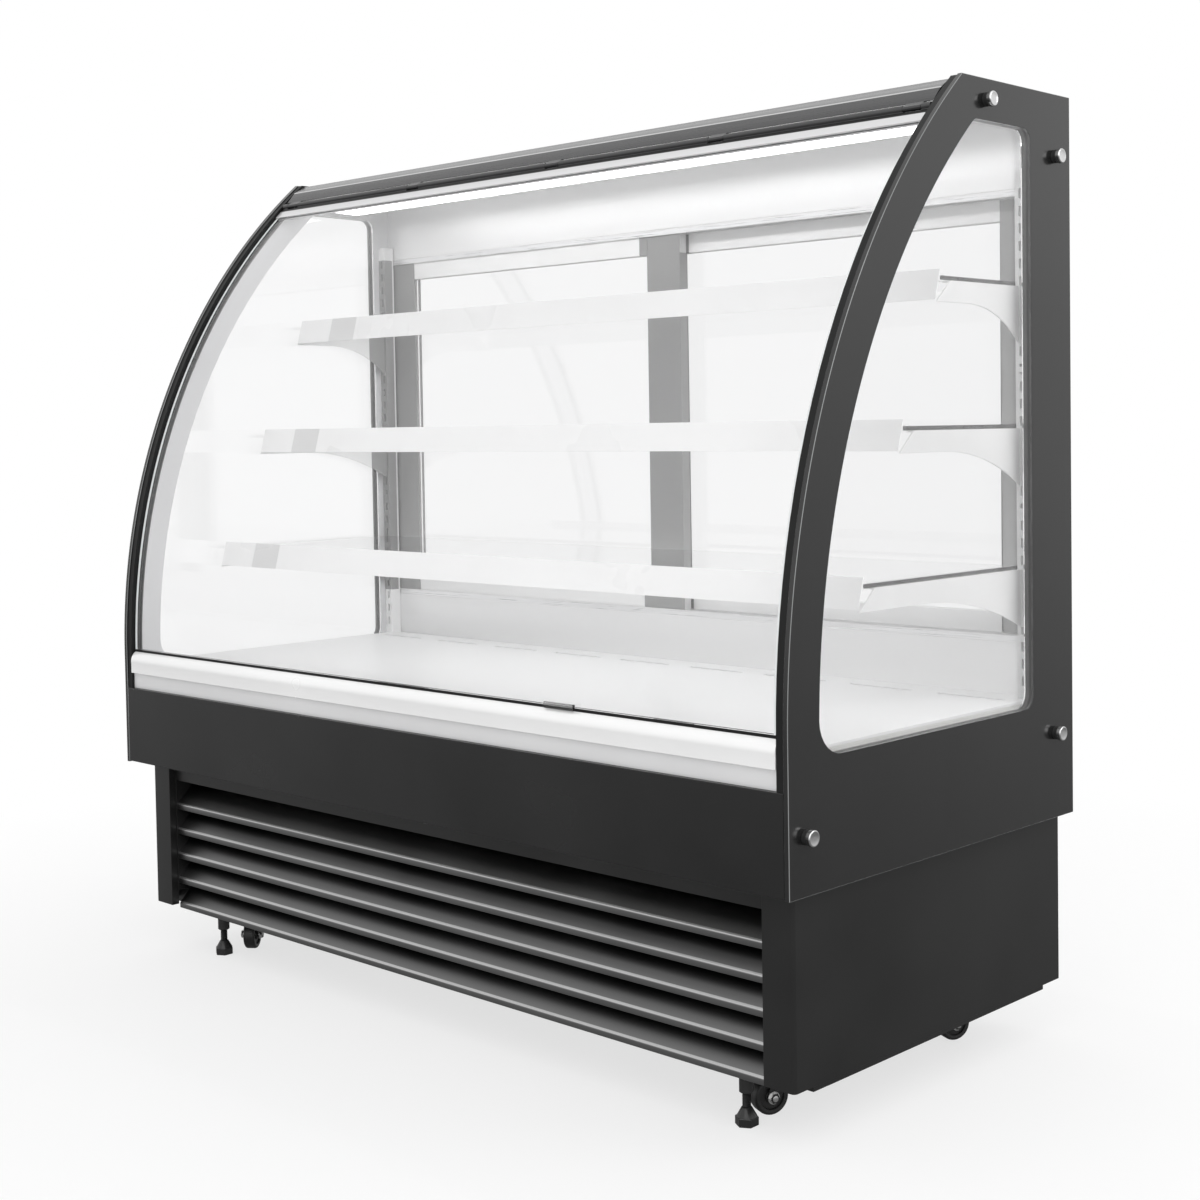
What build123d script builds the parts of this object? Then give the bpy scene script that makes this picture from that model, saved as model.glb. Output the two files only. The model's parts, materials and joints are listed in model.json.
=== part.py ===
"""Refrigerated bakery display case: curved glass cabinet on a louvred plinth.

Millimetres. +X is the shopper's right, -Y the front, +Z up, floor at Z = 0.
The origin is on the floor under the middle of the cabinet.
"""

import os
from math import asin, cos, degrees, dist, radians, sin, tan

from build123d import *

# Cabinet outside sizes
width = 1500.0
depth = 667.0
height = 1382.0
end_bottom = 337.0
arc_start = 531.0
crown_setback = 389.185

# Glass end walls, from the outside inwards
end_glass = 8.0
end_core = 14.0
inner_pane = 4.0
window_border = 62.0
window_low_border = 167.0
window_top_border = 57.0
window_rear_border = 108.5
window_corner_front = 46.0
window_corner_rear = 22.0
window_corner_top = 18.0
edge_seal_depth = 24.0
edge_seal_lap = 12.0
edge_seal_inset = 2.0

# Stand-off buttons: distance of each from the nearest upright and level edge of the end wall
button_crown = (220.5, 29.0)
button_rear_top = (42.5, 89.0)
button_rear_low = (48.5, 124.0)
button_front_low = (33.5, 74.0)
button_cap_radius = 10.5
button_cap_length = 8.0
button_collar_radius = 8.0
button_collar_length = 5.5
button_rim = 1.2

# Clearances
seat_gap = 0.3
slide_gap = 0.5
running_gap = 0.05

# Front: fascia, trims and curved glass
sheet = 1.5
fascia_sheet = 2.0
fascia_height = 130.0
fascia_depth = 24.0
trim_height = 27.0
trim_recess = 6.0
bullnose_height = 37.0
bullnose_round = 20.0
bullnose_depth = 23.0
sill_seal = 4.0
front_glass = 6.0
front_glass_inset = 9.0
front_glass_side_gap = 1.5

# Top front rail and the glass hinge under it, measured down from the top of the end walls
rail_drop = 38.0
rail_inset = 4.0
rail_ridge_lead = 18.4
rail_ridge_drop = 17.5
rail_crown_lag = 4.6
rail_crown_drop = 4.0
rail_back_lag = 18.6
hinge_drop = 45.0
hinge_inset = 6.0
knuckle_radius = 5.0
hinge_pin_radius = 2.5
knuckle_room = 8.0
lug_count = 5
lug_length = 30.0
lug_root = 8.0
leaf_reach = 9.0
leaf_grip = 22.0
leaf_wall = 2.6
glass_grip_x = 348.0
glass_grip_length = 57.0
glass_grip_height = 9.0
glass_grip_depth = 5.0
stop_heights = [1034.0, 1050.0]
stop_radius = 4.0
stop_length = 8.0

# Roof, ceiling and lamp
roof_slab = 25.0
roof_drop = 1.0
ceiling_sheet = 2.0
lamp_width = 34.0
lamp_depth = 14.0
lamp_tube_radius = 6.0

# Cold tub and deck
deck_top = 514.0
deck_sheet = 2.5
tub_wall = 26.0
tub_floor = 45.0
tub_rear_wall = 30.0
sill_top = 591.0
rear_wall = 71.5
deck_slots = 9
deck_slot_width = 8.0
deck_slot_bar = 46.0
deck_slot_inset = 20.0

# Rear wall with two sliding doors
header_drop = 133.0
door_lap = 93.0
door_thick = 18.0
door_gap = 6.0
door_stile = 75.0
door_rail = 40.0
door_glass = 5.0
track_lip = 3.0
track_height = 10.0
pull_length = 160.0
pull_width = 14.0
pull_thick = 4.0

# Shelves, bottom one first: the Y of each front edge
shelf_fronts = [-138.0, -47.0, 42.0]
shelf_lowest = 707.0
shelf_pitch = 203.0
shelf_glass = 6.0
shelf_rear_gap = 30.0
shelf_end_gap = 13.5
bracket_sheet = 2.5
bracket_flange = 12.0
bracket_front_drop = 30.0
bracket_rear_drop = 83.0
bracket_nose = 22.0
bracket_level_share = 0.35
strip_height = 42.0
strip_thick = 1.8
strip_tilt = 15.0
strip_rise = 9.0
strip_grip = 12.0
strip_stand = 0.9
upright_width = 18.0
upright_depth = 24.0
upright_drop = 110.0
slot_pitch = 25.0
slot_height = 14.0
slot_depth = 8.0
hook_depth = 6.0
upright_screw_radius = 4.0
upright_screw_drop = 125.0

# Plinth
plinth_inset = 25.0
plinth_setback = 36.5
plinth_bottom = 84.0
column_width = 50.0
column_return = 14.0
column_round = 6.0
grille_top_rail = 32.0
blade_count = 5
blade_lip = 9.0
blade_depth = 38.0
blade_sheet = 2.0
blade_first_lip = 86.5
blade_rise_gap = 0.8
vent_count = 12
vent_pitch = 40.0
vent_width = 8.0
vent_height = 120.0
vent_x = -250.0
vent_bottom = 140.0
tube = 30.0
tube_front_gap = 55.0
tube_rear_gap = 58.5
tube_bottom = 77.0
tray_sheet = 2.0

# Casters and levelling feet
caster_end_gap = 144.0
caster_front_gap = 163.5
caster_rear_gap = 143.5
caster_plate = 60.0
caster_plate_thick = 3.0
race_radius = 20.0
race_height = 8.0
wheel_radius = 25.0
wheel_width = 20.0
caster_trail = 24.0
fork_sheet = 2.5
axle_radius = 4.0
axle_nut_radius = 7.0
axle_nut_length = 5.0
kingpin_radius = 5.0
pedal_width = 20.0
pedal_reach = 62.0
pedal_pivot = 12.0
pedal_height = 57.0
pedal_barrel = 4.0
pedal_pin = 2.0
pedal_thick = 3.0
pedal_shoe_gap = 2.6
wheel_round = 4.0
caster_headings = {"FR": -113.0, "FL": -52.0, "RR": 66.0, "RL": 108.0}
foot_end_gap = 150.0
foot_stem_radius = 6.0
foot_pad_radius = 16.0
foot_pad_height = 12.0
foot_cone_height = 12.0
foot_cone_bottom_radius = 13.8
foot_cone_top_radius = 7.2
foot_stem_top = 100.0

# Refrigeration unit in the plinth
compressor_x = -330.0
compressor_rear_gap = 243.5
compressor_radius = 78.0
compressor_height = 165.0
compressor_dome = 31.0
compressor_foot = 148.0
grommet_height = 12.0
grommet_radius = 12.0
condenser_length = 330.0
condenser_height = 170.0
condenser_depth = 44.0
condenser_front_gap = 143.5
condenser_fins = 18
fin_depth = 13.0
fin_margin = 8.0
fin_gap_share = 0.6
shroud_depth = 44.0
fan_radius = 68.0
fan_ring_gap = 5.0
fan_hub_radius = 22.0
fan_blades = 5
fan_blade_thick = 2.5
fan_pitch = 28.0
fan_length = 22.0
motor_radius = 30.0
motor_length = 50.0
motor_foot_width = 30.0
shaft_radius = 4.0
shaft_length = 26.0

# Evaporator under the deck
coil_length = 900.0
coil_height = 70.0
coil_depth = 110.0
coil_fins = 36
evap_fan_radius = 40.0
evap_hub_radius = 13.0
evap_case_width = 120.0
evap_case_depth = 44.0
evap_case_wall = 4.0

# Control box and light switch at the back of the plinth
control_width = 180.0
control_height = 80.0
control_depth = 60.0
control_x = 420.0
control_drop = 30.0
rocker_offset = 54.0
rocker_width = 14.0
rocker_height = 20.0
rocker_depth = 7.0
rocker_room = 0.8
rocker_well = 14.0
rocker_pin = 1.5

front = -depth / 2
rear = depth / 2
half = width / 2
glass_inner = half - end_glass
core_inner = glass_inner - end_core
arc_rise = height - arc_start
arc_radius = (arc_rise**2 + crown_setback**2) / (2 * crown_setback)
arc_y = front + arc_radius
window_bottom = end_bottom + window_low_border
window_top = height - window_top_border
window_rear = rear - window_rear_border
button_spots = [
    (rear - button_crown[0], height - button_crown[1]),
    (rear - button_rear_top[0], height - button_rear_top[1]),
    (rear - button_rear_low[0], end_bottom + button_rear_low[1]),
    (front + button_front_low[0], end_bottom + button_front_low[1]),
]
rear_lining = rear - rear_wall
tub_rear = rear_lining - tub_rear_wall
header_bottom = height - header_drop
upright_top = height - upright_drop
shelf_tops = [shelf_lowest + shelf_pitch * level for level in range(len(shelf_fronts))]

os.makedirs("parts", exist_ok=True)


def save(name, *solids):
    """Write one sub-part; several solids stay separate in it."""
    shape = solids[0] if len(solids) == 1 else Compound(children=list(solids))
    export_step(shape, f"parts/{name}.step")


def block(x0, x1, y0, y1, z0, z1):
    """Box between two opposite corners."""
    box = Box(abs(x1 - x0), abs(y1 - y0), abs(z1 - z0))
    return Pos((x0 + x1) / 2, (y0 + y1) / 2, (z0 + z1) / 2) * box


def rod(start, end, radius):
    """Round bar between two points."""
    line = Line(start, end)
    return extrude(Plane(origin=start, z_dir=line @ 1 - line @ 0) * Circle(radius), line.length)


def run_along_x(face, x0, x1):
    """Extrude a face drawn in the Y-Z plane from x0 to x1."""
    return extrude(Plane.YZ.offset(x0) * face, x1 - x0)


def outline(points):
    """Closed face through points, each (Y, Z)."""
    return make_face(Polyline(*points, close=True))


def arc_angle(inset, z):
    """Angle up the front arc, at a radius smaller by inset, where the arc is z high."""
    return degrees(asin((z - arc_start) / (arc_radius - inset)))


def arc_point(inset, angle):
    """Point of the front arc at an inset and an angle above its start."""
    r = arc_radius - inset
    return (arc_y - r * cos(radians(angle)), arc_start + r * sin(radians(angle)))


def arc_edge(inset, low, high):
    """Front arc between two angles above its start."""
    return CenterArc((arc_y, arc_start), arc_radius - inset, 180 - low, low - high)


def end_face(inset, bottom, top, back):
    """Side outline of the cabinet: upright front, long arc, flat top, straight back."""
    angle = arc_angle(inset, top)
    low = (front + inset, bottom)
    foot = (front + inset, arc_start)
    crown = arc_point(inset, angle)
    edges = [Line(low, foot), arc_edge(inset, 0, angle), Line(crown, (back, top))]
    return make_face(edges + [Line((back, top), (back, bottom)), Line((back, bottom), low)])


def rounded(face, spots):
    """Round the corners of a face nearest to each (Y, Z, radius)."""
    for y, z, radius in spots:
        corner = min(face.vertices(), key=lambda v: dist((v.X, v.Y), (y, z)))
        face = fillet(corner, radius)
    return face


def window_face(shrink=0.0):
    """Window outline, concentric with the front arc, with rounded corners."""
    inset = window_border + shrink
    bottom = window_bottom + shrink
    top = window_top - shrink
    back = window_rear - shrink
    low_angle = arc_angle(inset, bottom)
    high_angle = arc_angle(inset, top)
    low = arc_point(inset, low_angle)
    crown = arc_point(inset, high_angle)
    sides = Polyline(crown, (back, top), (back, bottom), low)
    face = make_face([arc_edge(inset, low_angle, high_angle), sides])
    corners = [
        (*low, window_corner_front - shrink),
        (back, bottom, window_corner_rear - shrink),
        (back, top, window_corner_top - shrink),
        (*crown, window_corner_top - shrink),
    ]
    return rounded(face, corners)


def side_pair(name, face, inner, outer):
    """Two mirrored plates, right and left, as name_right and name_left."""
    save(f"{name}_right", run_along_x(face, inner, outer))
    save(f"{name}_left", run_along_x(face, -outer, -inner))


# End walls: clear outer pane, black core ring, inner pane, edge seal and buttons
core_front = edge_seal_inset + edge_seal_depth
core_face = end_face(core_front, end_bottom + seat_gap, height - roof_drop, rear - edge_seal_inset)
side_pair("end_glass", end_face(0, end_bottom, height, rear), glass_inner, half)
core_ring = core_face - window_face()
save("end_cores", run_along_x(core_ring, core_inner, glass_inner),
     run_along_x(core_ring, -glass_inner, -core_inner))
pane_x = core_inner + seat_gap
panes = [(pane_x, pane_x + inner_pane), (-pane_x - inner_pane, -pane_x)]
save("end_inner_panes", *[run_along_x(window_face(seat_gap), x0, x1) for x0, x1 in panes])


fascia_bottom = end_bottom + sheet
fascia_top = fascia_bottom + fascia_height
trim_top = fascia_top + trim_height
bullnose_top = trim_top + bullnose_height
seal_inner = glass_inner - edge_seal_lap
seal_top = height - roof_drop
seal_face = end_face(edge_seal_inset, fascia_top, seal_top, arc_y)
seal_face -= end_face(core_front, fascia_top - 1, seal_top + 1, arc_y + 1)
edge_seals = [run_along_x(seal_face, seal_inner, glass_inner),
              run_along_x(seal_face, -glass_inner, -seal_inner)]

buttons = []
for side in (1, -1):
    for y, z in button_spots:
        collar_end = half + button_collar_length
        cap_end = collar_end + button_cap_length
        collar = rod((side * half, y, z), (side * collar_end, y, z), button_collar_radius)
        cap = rod((side * collar_end, y, z), (side * cap_end, y, z), button_cap_radius)
        rim = cap.faces().sort_by(Axis.X)[-1 if side > 0 else 0].edges()
        buttons += [collar, fillet(rim, button_rim)]
save("standoff_buttons", *buttons)

# Front: black fascia, flat trim, bullnose, sill seal and catch
fascia_y = front + seat_gap
channel_back = front + fascia_depth
fascia = block(-glass_inner + slide_gap, glass_inner - slide_gap, fascia_y, channel_back,
               fascia_bottom, fascia_top)
fascia -= block(-half, half, fascia_y + fascia_sheet, channel_back + 1,
                fascia_bottom + fascia_sheet, fascia_top - fascia_sheet)
save("fascia", fascia)

trim_half = seal_inner - slide_gap
trim_y = front + trim_recess
trim = block(-trim_half, trim_half, trim_y, channel_back, fascia_top, trim_top)
trim -= block(-half, half, trim_y + sheet, channel_back + 1, fascia_top + sheet, trim_top - sheet)
save("front_trim", trim)

nose_y = front + seat_gap
nose_back = nose_y + bullnose_depth
nose_edge = nose_y + front_glass_inset
nose_bend = RadiusArc((nose_y, bullnose_top - bullnose_round), (nose_edge, bullnose_top),
                      bullnose_round)
nose_sides = Polyline((nose_edge, bullnose_top), (nose_back, bullnose_top),
                      (nose_back, trim_top), (nose_y, trim_top),
                      (nose_y, bullnose_top - bullnose_round))
save("bullnose", run_along_x(make_face([nose_bend, nose_sides]), -trim_half, trim_half))

sill_seal_top = bullnose_top + sill_seal
glass_foot_y = front + front_glass_inset
sill_strip = block(-trim_half, trim_half, glass_foot_y, glass_foot_y + front_glass * 2,
                   bullnose_top, sill_seal_top)
save("glass_seals", sill_strip, *edge_seals)

# Curved front glass, clamped in a hinge leaf under the top rail
hinge_angle = arc_angle(hinge_inset, height - hinge_drop)
hinge_y, hinge_z = arc_point(hinge_inset, hinge_angle)
leaf_start = hinge_angle - degrees(leaf_reach / arc_radius)
leaf_end = hinge_angle - degrees((leaf_reach + leaf_grip) / arc_radius)
glass_low = arc_angle(front_glass_inset, sill_seal_top + seat_gap)
glass_half = seal_inner - front_glass_side_gap


def arc_band(outer_inset, thickness, low, high):
    """Curved strip between two insets and two angles of the front arc."""
    inner_inset = outer_inset + thickness
    ends = [Line(arc_point(outer_inset, a), arc_point(inner_inset, a)) for a in (low, high)]
    return make_face([arc_edge(outer_inset, low, high), arc_edge(inner_inset, low, high), *ends])


glass_top = leaf_start - degrees(leaf_wall / arc_radius)
pane = arc_band(front_glass_inset, front_glass, glass_low, glass_top)
save("front_glass", run_along_x(pane, -glass_half, glass_half))

leaf_inset = front_glass_inset - leaf_wall
leaf_face = arc_band(leaf_inset, front_glass + 2 * leaf_wall, leaf_end, leaf_start)
leaf_face -= arc_band(front_glass_inset, front_glass, leaf_end - 1, glass_top)
web = outline([(hinge_y, hinge_z), arc_point(leaf_inset, leaf_start - 0.1),
               arc_point(front_glass_inset + front_glass, leaf_start - 0.1),
               (hinge_y + knuckle_radius, hinge_z)])
knuckle = Pos(hinge_y, hinge_z) * Circle(knuckle_radius)
pin_hole = Pos(hinge_y, hinge_z) * Circle(hinge_pin_radius + running_gap)
leaf_half = glass_half - slide_gap
leaf = run_along_x(leaf_face + (web + knuckle) - pin_hole, -leaf_half, leaf_half)
lug_step = 2 * (leaf_half - lug_length) / (lug_count - 1)
lug_centres = [lug_step * (n - (lug_count - 1) / 2) for n in range(lug_count)]
lug_room = lug_length / 2 + slide_gap
for x in lug_centres:
    leaf -= rod((x - lug_room, hinge_y, hinge_z), (x + lug_room, hinge_y, hinge_z), knuckle_room)
save("glass_hinge_leaf", leaf)
grip_back = glass_foot_y - seat_gap
save("glass_grip", block(glass_grip_x - glass_grip_length / 2, glass_grip_x + glass_grip_length / 2,
                         grip_back - glass_grip_depth, grip_back, bullnose_top + seat_gap,
                         bullnose_top + seat_gap + glass_grip_height))
stops = []
for z in stop_heights:
    stop_inset = front_glass_inset + front_glass + seat_gap + stop_radius
    y = arc_point(stop_inset, arc_angle(stop_inset, z))[0]
    for side in (1, -1):
        stops.append(rod((side * (seal_inner - seat_gap - stop_length), y, z),
                         (side * (seal_inner - seat_gap), y, z), stop_radius))
save("glass_stops", *stops)
hinge_pin = rod((-leaf_half, hinge_y, hinge_z), (leaf_half, hinge_y, hinge_z), hinge_pin_radius)

# Top front rail with the fixed hinge lugs
rail_bottom = height - rail_drop
rail_low = arc_point(rail_inset, arc_angle(rail_inset, rail_bottom))
crown_y = arc_point(0, arc_angle(0, height))[0]
rail_ridge = (crown_y - rail_ridge_lead, height - rail_ridge_drop)
rail_crown = (crown_y + rail_crown_lag, height - rail_crown_drop)
rail_back = crown_y + rail_back_lag
rail_half = core_inner - slide_gap
rail_face = outline([rail_low, rail_ridge, rail_crown, (rail_back, rail_crown[1]),
                     (rail_back, rail_bottom)])
rail = run_along_x(rail_face, -rail_half, rail_half)
lug_sink = 1.0
lug_y = rail_low[0] + lug_sink
lug_face = outline([(hinge_y - lug_root / 4, hinge_z), (lug_y, rail_bottom + lug_sink),
                    (lug_y + lug_root, rail_bottom + lug_sink), (hinge_y + lug_root / 4, hinge_z)])
for x in lug_centres:
    rail += run_along_x(lug_face + knuckle - pin_hole, x - lug_length / 2, x + lug_length / 2)
save("top_rail", rail, hinge_pin)

# Roof slab, ceiling and lamp
roof_top = rail_crown[1]
roof_bottom = roof_top - roof_slab
roof_back = rear - sheet
inner_half = core_inner - slide_gap
save("roof_panel", block(-inner_half, inner_half, rail_back, roof_back, roof_bottom, roof_top))
ceiling_z = roof_bottom - ceiling_sheet
lamp_back = rail_back + lamp_width
save("ceiling_panel", block(-inner_half, inner_half, lamp_back, rear_lining, ceiling_z,
                            roof_bottom))
lamp_z = roof_bottom - lamp_depth
lamp_mid = rail_back + lamp_width / 2
housing = block(-inner_half, inner_half, rail_back, lamp_back, lamp_z, roof_bottom)
tube_bore = lamp_tube_radius + seat_gap
housing -= rod((-half, lamp_mid, lamp_z), (half, lamp_mid, lamp_z), tube_bore)
save("lamp_housing", housing)
tube_half = inner_half - slide_gap
save("lamp_tube", rod((-tube_half, lamp_mid, lamp_z), (tube_half, lamp_mid, lamp_z),
                      lamp_tube_radius))

# Insulated cold tub, its stainless lining with the sill, and the deck
deck_bottom = deck_top - deck_sheet
tub_front = channel_back + seat_gap
tub_bottom = end_bottom + seat_gap
cavity_bottom = tub_bottom + tub_floor
cavity_half = inner_half - tub_wall
cavity_front = tub_front + tub_wall
foam_top = deck_bottom - sheet
foam = block(-inner_half, inner_half, tub_front, rear_lining, tub_bottom, foam_top)
foam += block(-inner_half, inner_half, rear_lining, roof_back, tub_bottom, sill_top - sheet)
foam -= block(-cavity_half, cavity_half, cavity_front, tub_rear, cavity_bottom, foam_top + 1)
save("tub_insulation", foam)

lining = block(-cavity_half, cavity_half, cavity_front, tub_rear, cavity_bottom, foam_top)
lining -= block(-cavity_half + sheet, cavity_half - sheet, cavity_front + sheet, tub_rear - sheet,
                cavity_bottom + sheet, foam_top + 1)
rim = block(-inner_half, inner_half, tub_front, rear_lining, foam_top, deck_bottom)
rim -= block(-cavity_half + sheet, cavity_half - sheet, cavity_front + sheet, tub_rear - sheet,
             foam_top - 1, deck_bottom + 1)
upstand = block(-inner_half, inner_half, rear_lining - sheet, rear_lining, foam_top, sill_top)
cap = block(-inner_half, inner_half, rear_lining - sheet, roof_back, sill_top - sheet, sill_top)
save("tub_lining", lining + rim + upstand + cap)

deck_back = rear_lining - sheet - seat_gap
deck = block(-inner_half, inner_half, tub_front, deck_back, deck_bottom, deck_top)
slot_step = 2 * inner_half / deck_slots
deck_slot_half = (slot_step - deck_slot_bar) / 2
for n in range(deck_slots):
    x = slot_step * (n - (deck_slots - 1) / 2)
    for y in (cavity_front + deck_slot_inset, tub_rear - deck_slot_inset):
        deck -= block(x - deck_slot_half, x + deck_slot_half, y - deck_slot_width / 2,
                      y + deck_slot_width / 2, deck_bottom - 1, deck_top + 1)
save("deck", deck)

save("back_panel", block(-inner_half, inner_half, roof_back, rear, tub_bottom, sill_top))

# Rear header, door tracks and two sliding doors
save("rear_header", block(-inner_half, inner_half, rear_lining, roof_back, header_bottom,
                          roof_bottom))
door_y = [rear_lining + track_lip + slide_gap]
door_y.append(door_y[0] + door_thick + door_gap)
lips = [door_y[0] - slide_gap - track_lip, door_y[0] + door_thick + slide_gap,
        door_y[1] + door_thick + slide_gap]
lip_widths = [track_lip, door_gap - 2 * slide_gap, track_lip]
tracks = []
for z0, z1 in ((header_bottom - track_height, header_bottom), (sill_top, sill_top + track_height)):
    for y, lip in zip(lips, lip_widths):
        tracks.append(block(-inner_half, inner_half, y, y + lip, z0, z1))
save("door_tracks", *tracks)

door_width = inner_half + door_lap / 2
door_bottom = sill_top + seat_gap
door_top = header_bottom - seat_gap * 4
door_ends = {"left": (-inner_half, 0), "right": (inner_half - door_width, 1)}
for name, (x0, lane) in door_ends.items():
    x1 = x0 + door_width
    y0 = door_y[lane]
    y1 = y0 + door_thick
    frame = [
        block(x0, x0 + door_stile, y0, y1, door_bottom, door_top),
        block(x1 - door_stile, x1, y0, y1, door_bottom, door_top),
        block(x0 + door_stile, x1 - door_stile, y0, y1, door_bottom, door_bottom + door_rail),
        block(x0 + door_stile, x1 - door_stile, y0, y1, door_top - door_rail, door_top),
    ]
    pull_x = x0 + door_stile / 2 if lane == 0 else x1 - door_stile / 2
    pull_z = (door_bottom + door_top) / 2
    frame.append(block(pull_x - pull_width / 2, pull_x + pull_width / 2, y1, y1 + pull_thick,
                       pull_z - pull_length / 2, pull_z + pull_length / 2))
    save(f"door_frame_{name}", *frame)
    glass_y = (y0 + y1) / 2
    save(f"door_glass_{name}",
         block(x0 + door_stile, x1 - door_stile, glass_y - door_glass / 2, glass_y + door_glass / 2,
               door_bottom + door_rail, door_top - door_rail))

# Slotted uprights with the shelf brackets hooked on them
upright_front = rear_lining - upright_depth
upright_back = rear_lining - sheet - seat_gap
upright_inner = inner_half - upright_width
slot_x = inner_half - upright_width / 2
slot_total = int((upright_top - deck_top) / slot_pitch) - 1
screws = []
uprights = []
for side in (1, -1):
    bar = block(side * upright_inner, side * inner_half, upright_front, upright_back,
                deck_top, upright_top)
    for n in range(slot_total):
        z = deck_top + slot_pitch * (n + 1)
        bar -= block(side * slot_x - bracket_sheet, side * slot_x + bracket_sheet, upright_front,
                     upright_front + slot_depth, z - slot_height / 2, z + slot_height / 2)
    uprights.append(bar)
    for z in shelf_tops[1:]:
        y = upright_front
        screw_z = z - upright_screw_drop
        screws.append(rod((side * slot_x, y - sheet, screw_z), (side * slot_x, y, screw_z),
                          upright_screw_radius))
save("uprights", *uprights, *screws)

# Three glass shelves on cantilever brackets, each with a tilted ticket strip
brackets = []
strips = []
shelves = []
shelf_half_length = inner_half - shelf_end_gap
shelf_rear = rear_lining - shelf_rear_gap
bracket_x = shelf_half_length + seat_gap
for y_front, z_top in zip(shelf_fronts, shelf_tops):
    z_under = z_top - shelf_glass
    shelves.append(block(-shelf_half_length, shelf_half_length, y_front, shelf_rear, z_under,
                         z_top))
    low_front = z_under - bracket_front_drop
    low_rear = z_under - bracket_rear_drop
    bend_start = y_front + (shelf_rear - y_front) * bracket_level_share
    gusset_top = Polyline((y_front - strip_grip, low_front), (y_front + bracket_nose, z_under),
                          (upright_front, z_under), (upright_front, low_rear))
    gusset_low = Polyline((bend_start, low_front), (y_front - strip_grip, low_front))
    gusset_bend = TangentArc((bend_start, low_front), (upright_front, low_rear), tangent=(1, 0))
    gusset = make_face([gusset_top, gusset_bend, gusset_low])
    for side in (1, -1):
        hook_x = side * slot_x
        x0 = side * bracket_x
        x1 = side * (bracket_x + bracket_sheet)
        bracket = run_along_x(gusset, min(x0, x1), max(x0, x1))
        bracket += block(x0 - side * bracket_flange, x1, y_front + bracket_nose, upright_front,
                         z_under - bracket_sheet, z_under)
        for n in range(slot_total):
            z = deck_top + slot_pitch * (n + 1)
            if low_rear + slot_height / 2 < z < z_under - slot_height / 2:
                bracket += block(hook_x - bracket_sheet / 2, hook_x + bracket_sheet / 2,
                                 upright_front - bracket_sheet, upright_front + hook_depth,
                                 z - slot_height / 3, z + slot_height / 3)
        bracket += block(x0, hook_x + side * bracket_sheet / 2, upright_front - bracket_sheet,
                         upright_front, low_rear, z_under)
        brackets.append(bracket)
    lean = tan(radians(strip_tilt))
    top_z = z_top + strip_rise
    low_z = top_z - strip_height
    face_top = y_front - strip_stand - strip_thick + lean * (top_z - z_top)
    face_low = face_top - lean * strip_height
    strip_face = outline([(face_low, low_z), (face_top, top_z), (face_top + strip_thick, top_z),
                          (face_low + strip_thick, low_z)])
    clip_back = y_front + strip_grip
    clip = outline([(y_front - strip_stand - strip_thick / 2, z_under - strip_thick),
                    (clip_back, z_under - strip_thick), (clip_back, z_top + strip_thick),
                    (y_front - strip_stand - strip_thick / 2, z_top + strip_thick)])
    clip -= outline([(y_front, z_under), (clip_back + 1, z_under), (clip_back + 1, z_top),
                     (y_front, z_top)])
    strips.append(run_along_x(strip_face + clip, -shelf_half_length, shelf_half_length))
save("shelf_glass", *shelves)
save("shelf_brackets", *brackets)
save("ticket_strips", *strips)

# Plinth: two side covers with front columns, back cover, grille and tube frame
plinth_half = half - plinth_inset
plinth_front = front + plinth_setback
plinth_top = end_bottom - seat_gap
plinth_back = rear - sheet
column_inner = plinth_half - column_width
return_back = plinth_front + column_return
for name, side in (("right", 1), ("left", -1)):
    plan = Pos(side * (column_inner + column_width / 2), (plinth_front + plinth_back) / 2)
    outer = plan * Rectangle(column_width, plinth_back - plinth_front)
    hollow = plan * Rectangle(column_width - 2 * sheet, plinth_back - plinth_front - 2 * sheet)
    outer = rounded(outer, [(side * plinth_half, plinth_front, column_round)])
    hollow = rounded(hollow, [(side * plinth_half, plinth_front, column_round - sheet)])
    behind = Pos(side * (column_inner + (column_width - sheet) / 2), return_back + depth / 2)
    cut = hollow + behind * Rectangle(column_width - sheet, depth)
    cover = extrude(Plane.XY.offset(plinth_bottom) * (outer - cut), plinth_top - plinth_bottom)
    save(f"plinth_cover_{name}", cover)
cover_half = plinth_half - sheet - seat_gap
cover_front = plinth_back - sheet
back_cover = block(-cover_half, cover_half, cover_front, plinth_back, plinth_bottom, plinth_top)
for n in range(vent_count):
    x = vent_pitch * (n - (vent_count - 1) / 2) + vent_x
    back_cover -= block(x - vent_width / 2, x + vent_width / 2, cover_front - 1, plinth_back + 1,
                        vent_bottom, vent_bottom + vent_height)

# Control box behind the back cover, with a rocker switch for the lamp
control_top = plinth_top - control_drop
control_back = cover_front - seat_gap
rocker_x = control_x + rocker_offset
rocker_z = control_top - control_height / 2
rocker_half = rocker_width / 2
well_half = rocker_half + rocker_room
well_tall = rocker_height / 2 + rocker_room
well = block(rocker_x - well_half, rocker_x + well_half, control_back - rocker_well,
             plinth_back + 1, rocker_z - well_tall, rocker_z + well_tall)
save("plinth_back_cover", back_cover - well)
control = block(control_x - control_width / 2, control_x + control_width / 2,
                control_back - control_depth, control_back, control_top - control_height,
                control_top)
rocker_y = plinth_back - rocker_depth / 2
pivot_pin = rod((rocker_x - well_half, rocker_y, rocker_z), (rocker_x + well_half, rocker_y, rocker_z),
                rocker_pin)
save("control_box", control - well, pivot_pin)
rocker = block(rocker_x - rocker_half, rocker_x + rocker_half, rocker_y - rocker_depth / 2,
               rocker_y + rocker_depth / 2, rocker_z - rocker_height / 2,
               rocker_z + rocker_height / 2)
rocker -= rod((rocker_x - rocker_width, rocker_y, rocker_z),
              (rocker_x + rocker_width, rocker_y, rocker_z), rocker_pin + running_gap)
save("light_switch", rocker)

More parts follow.
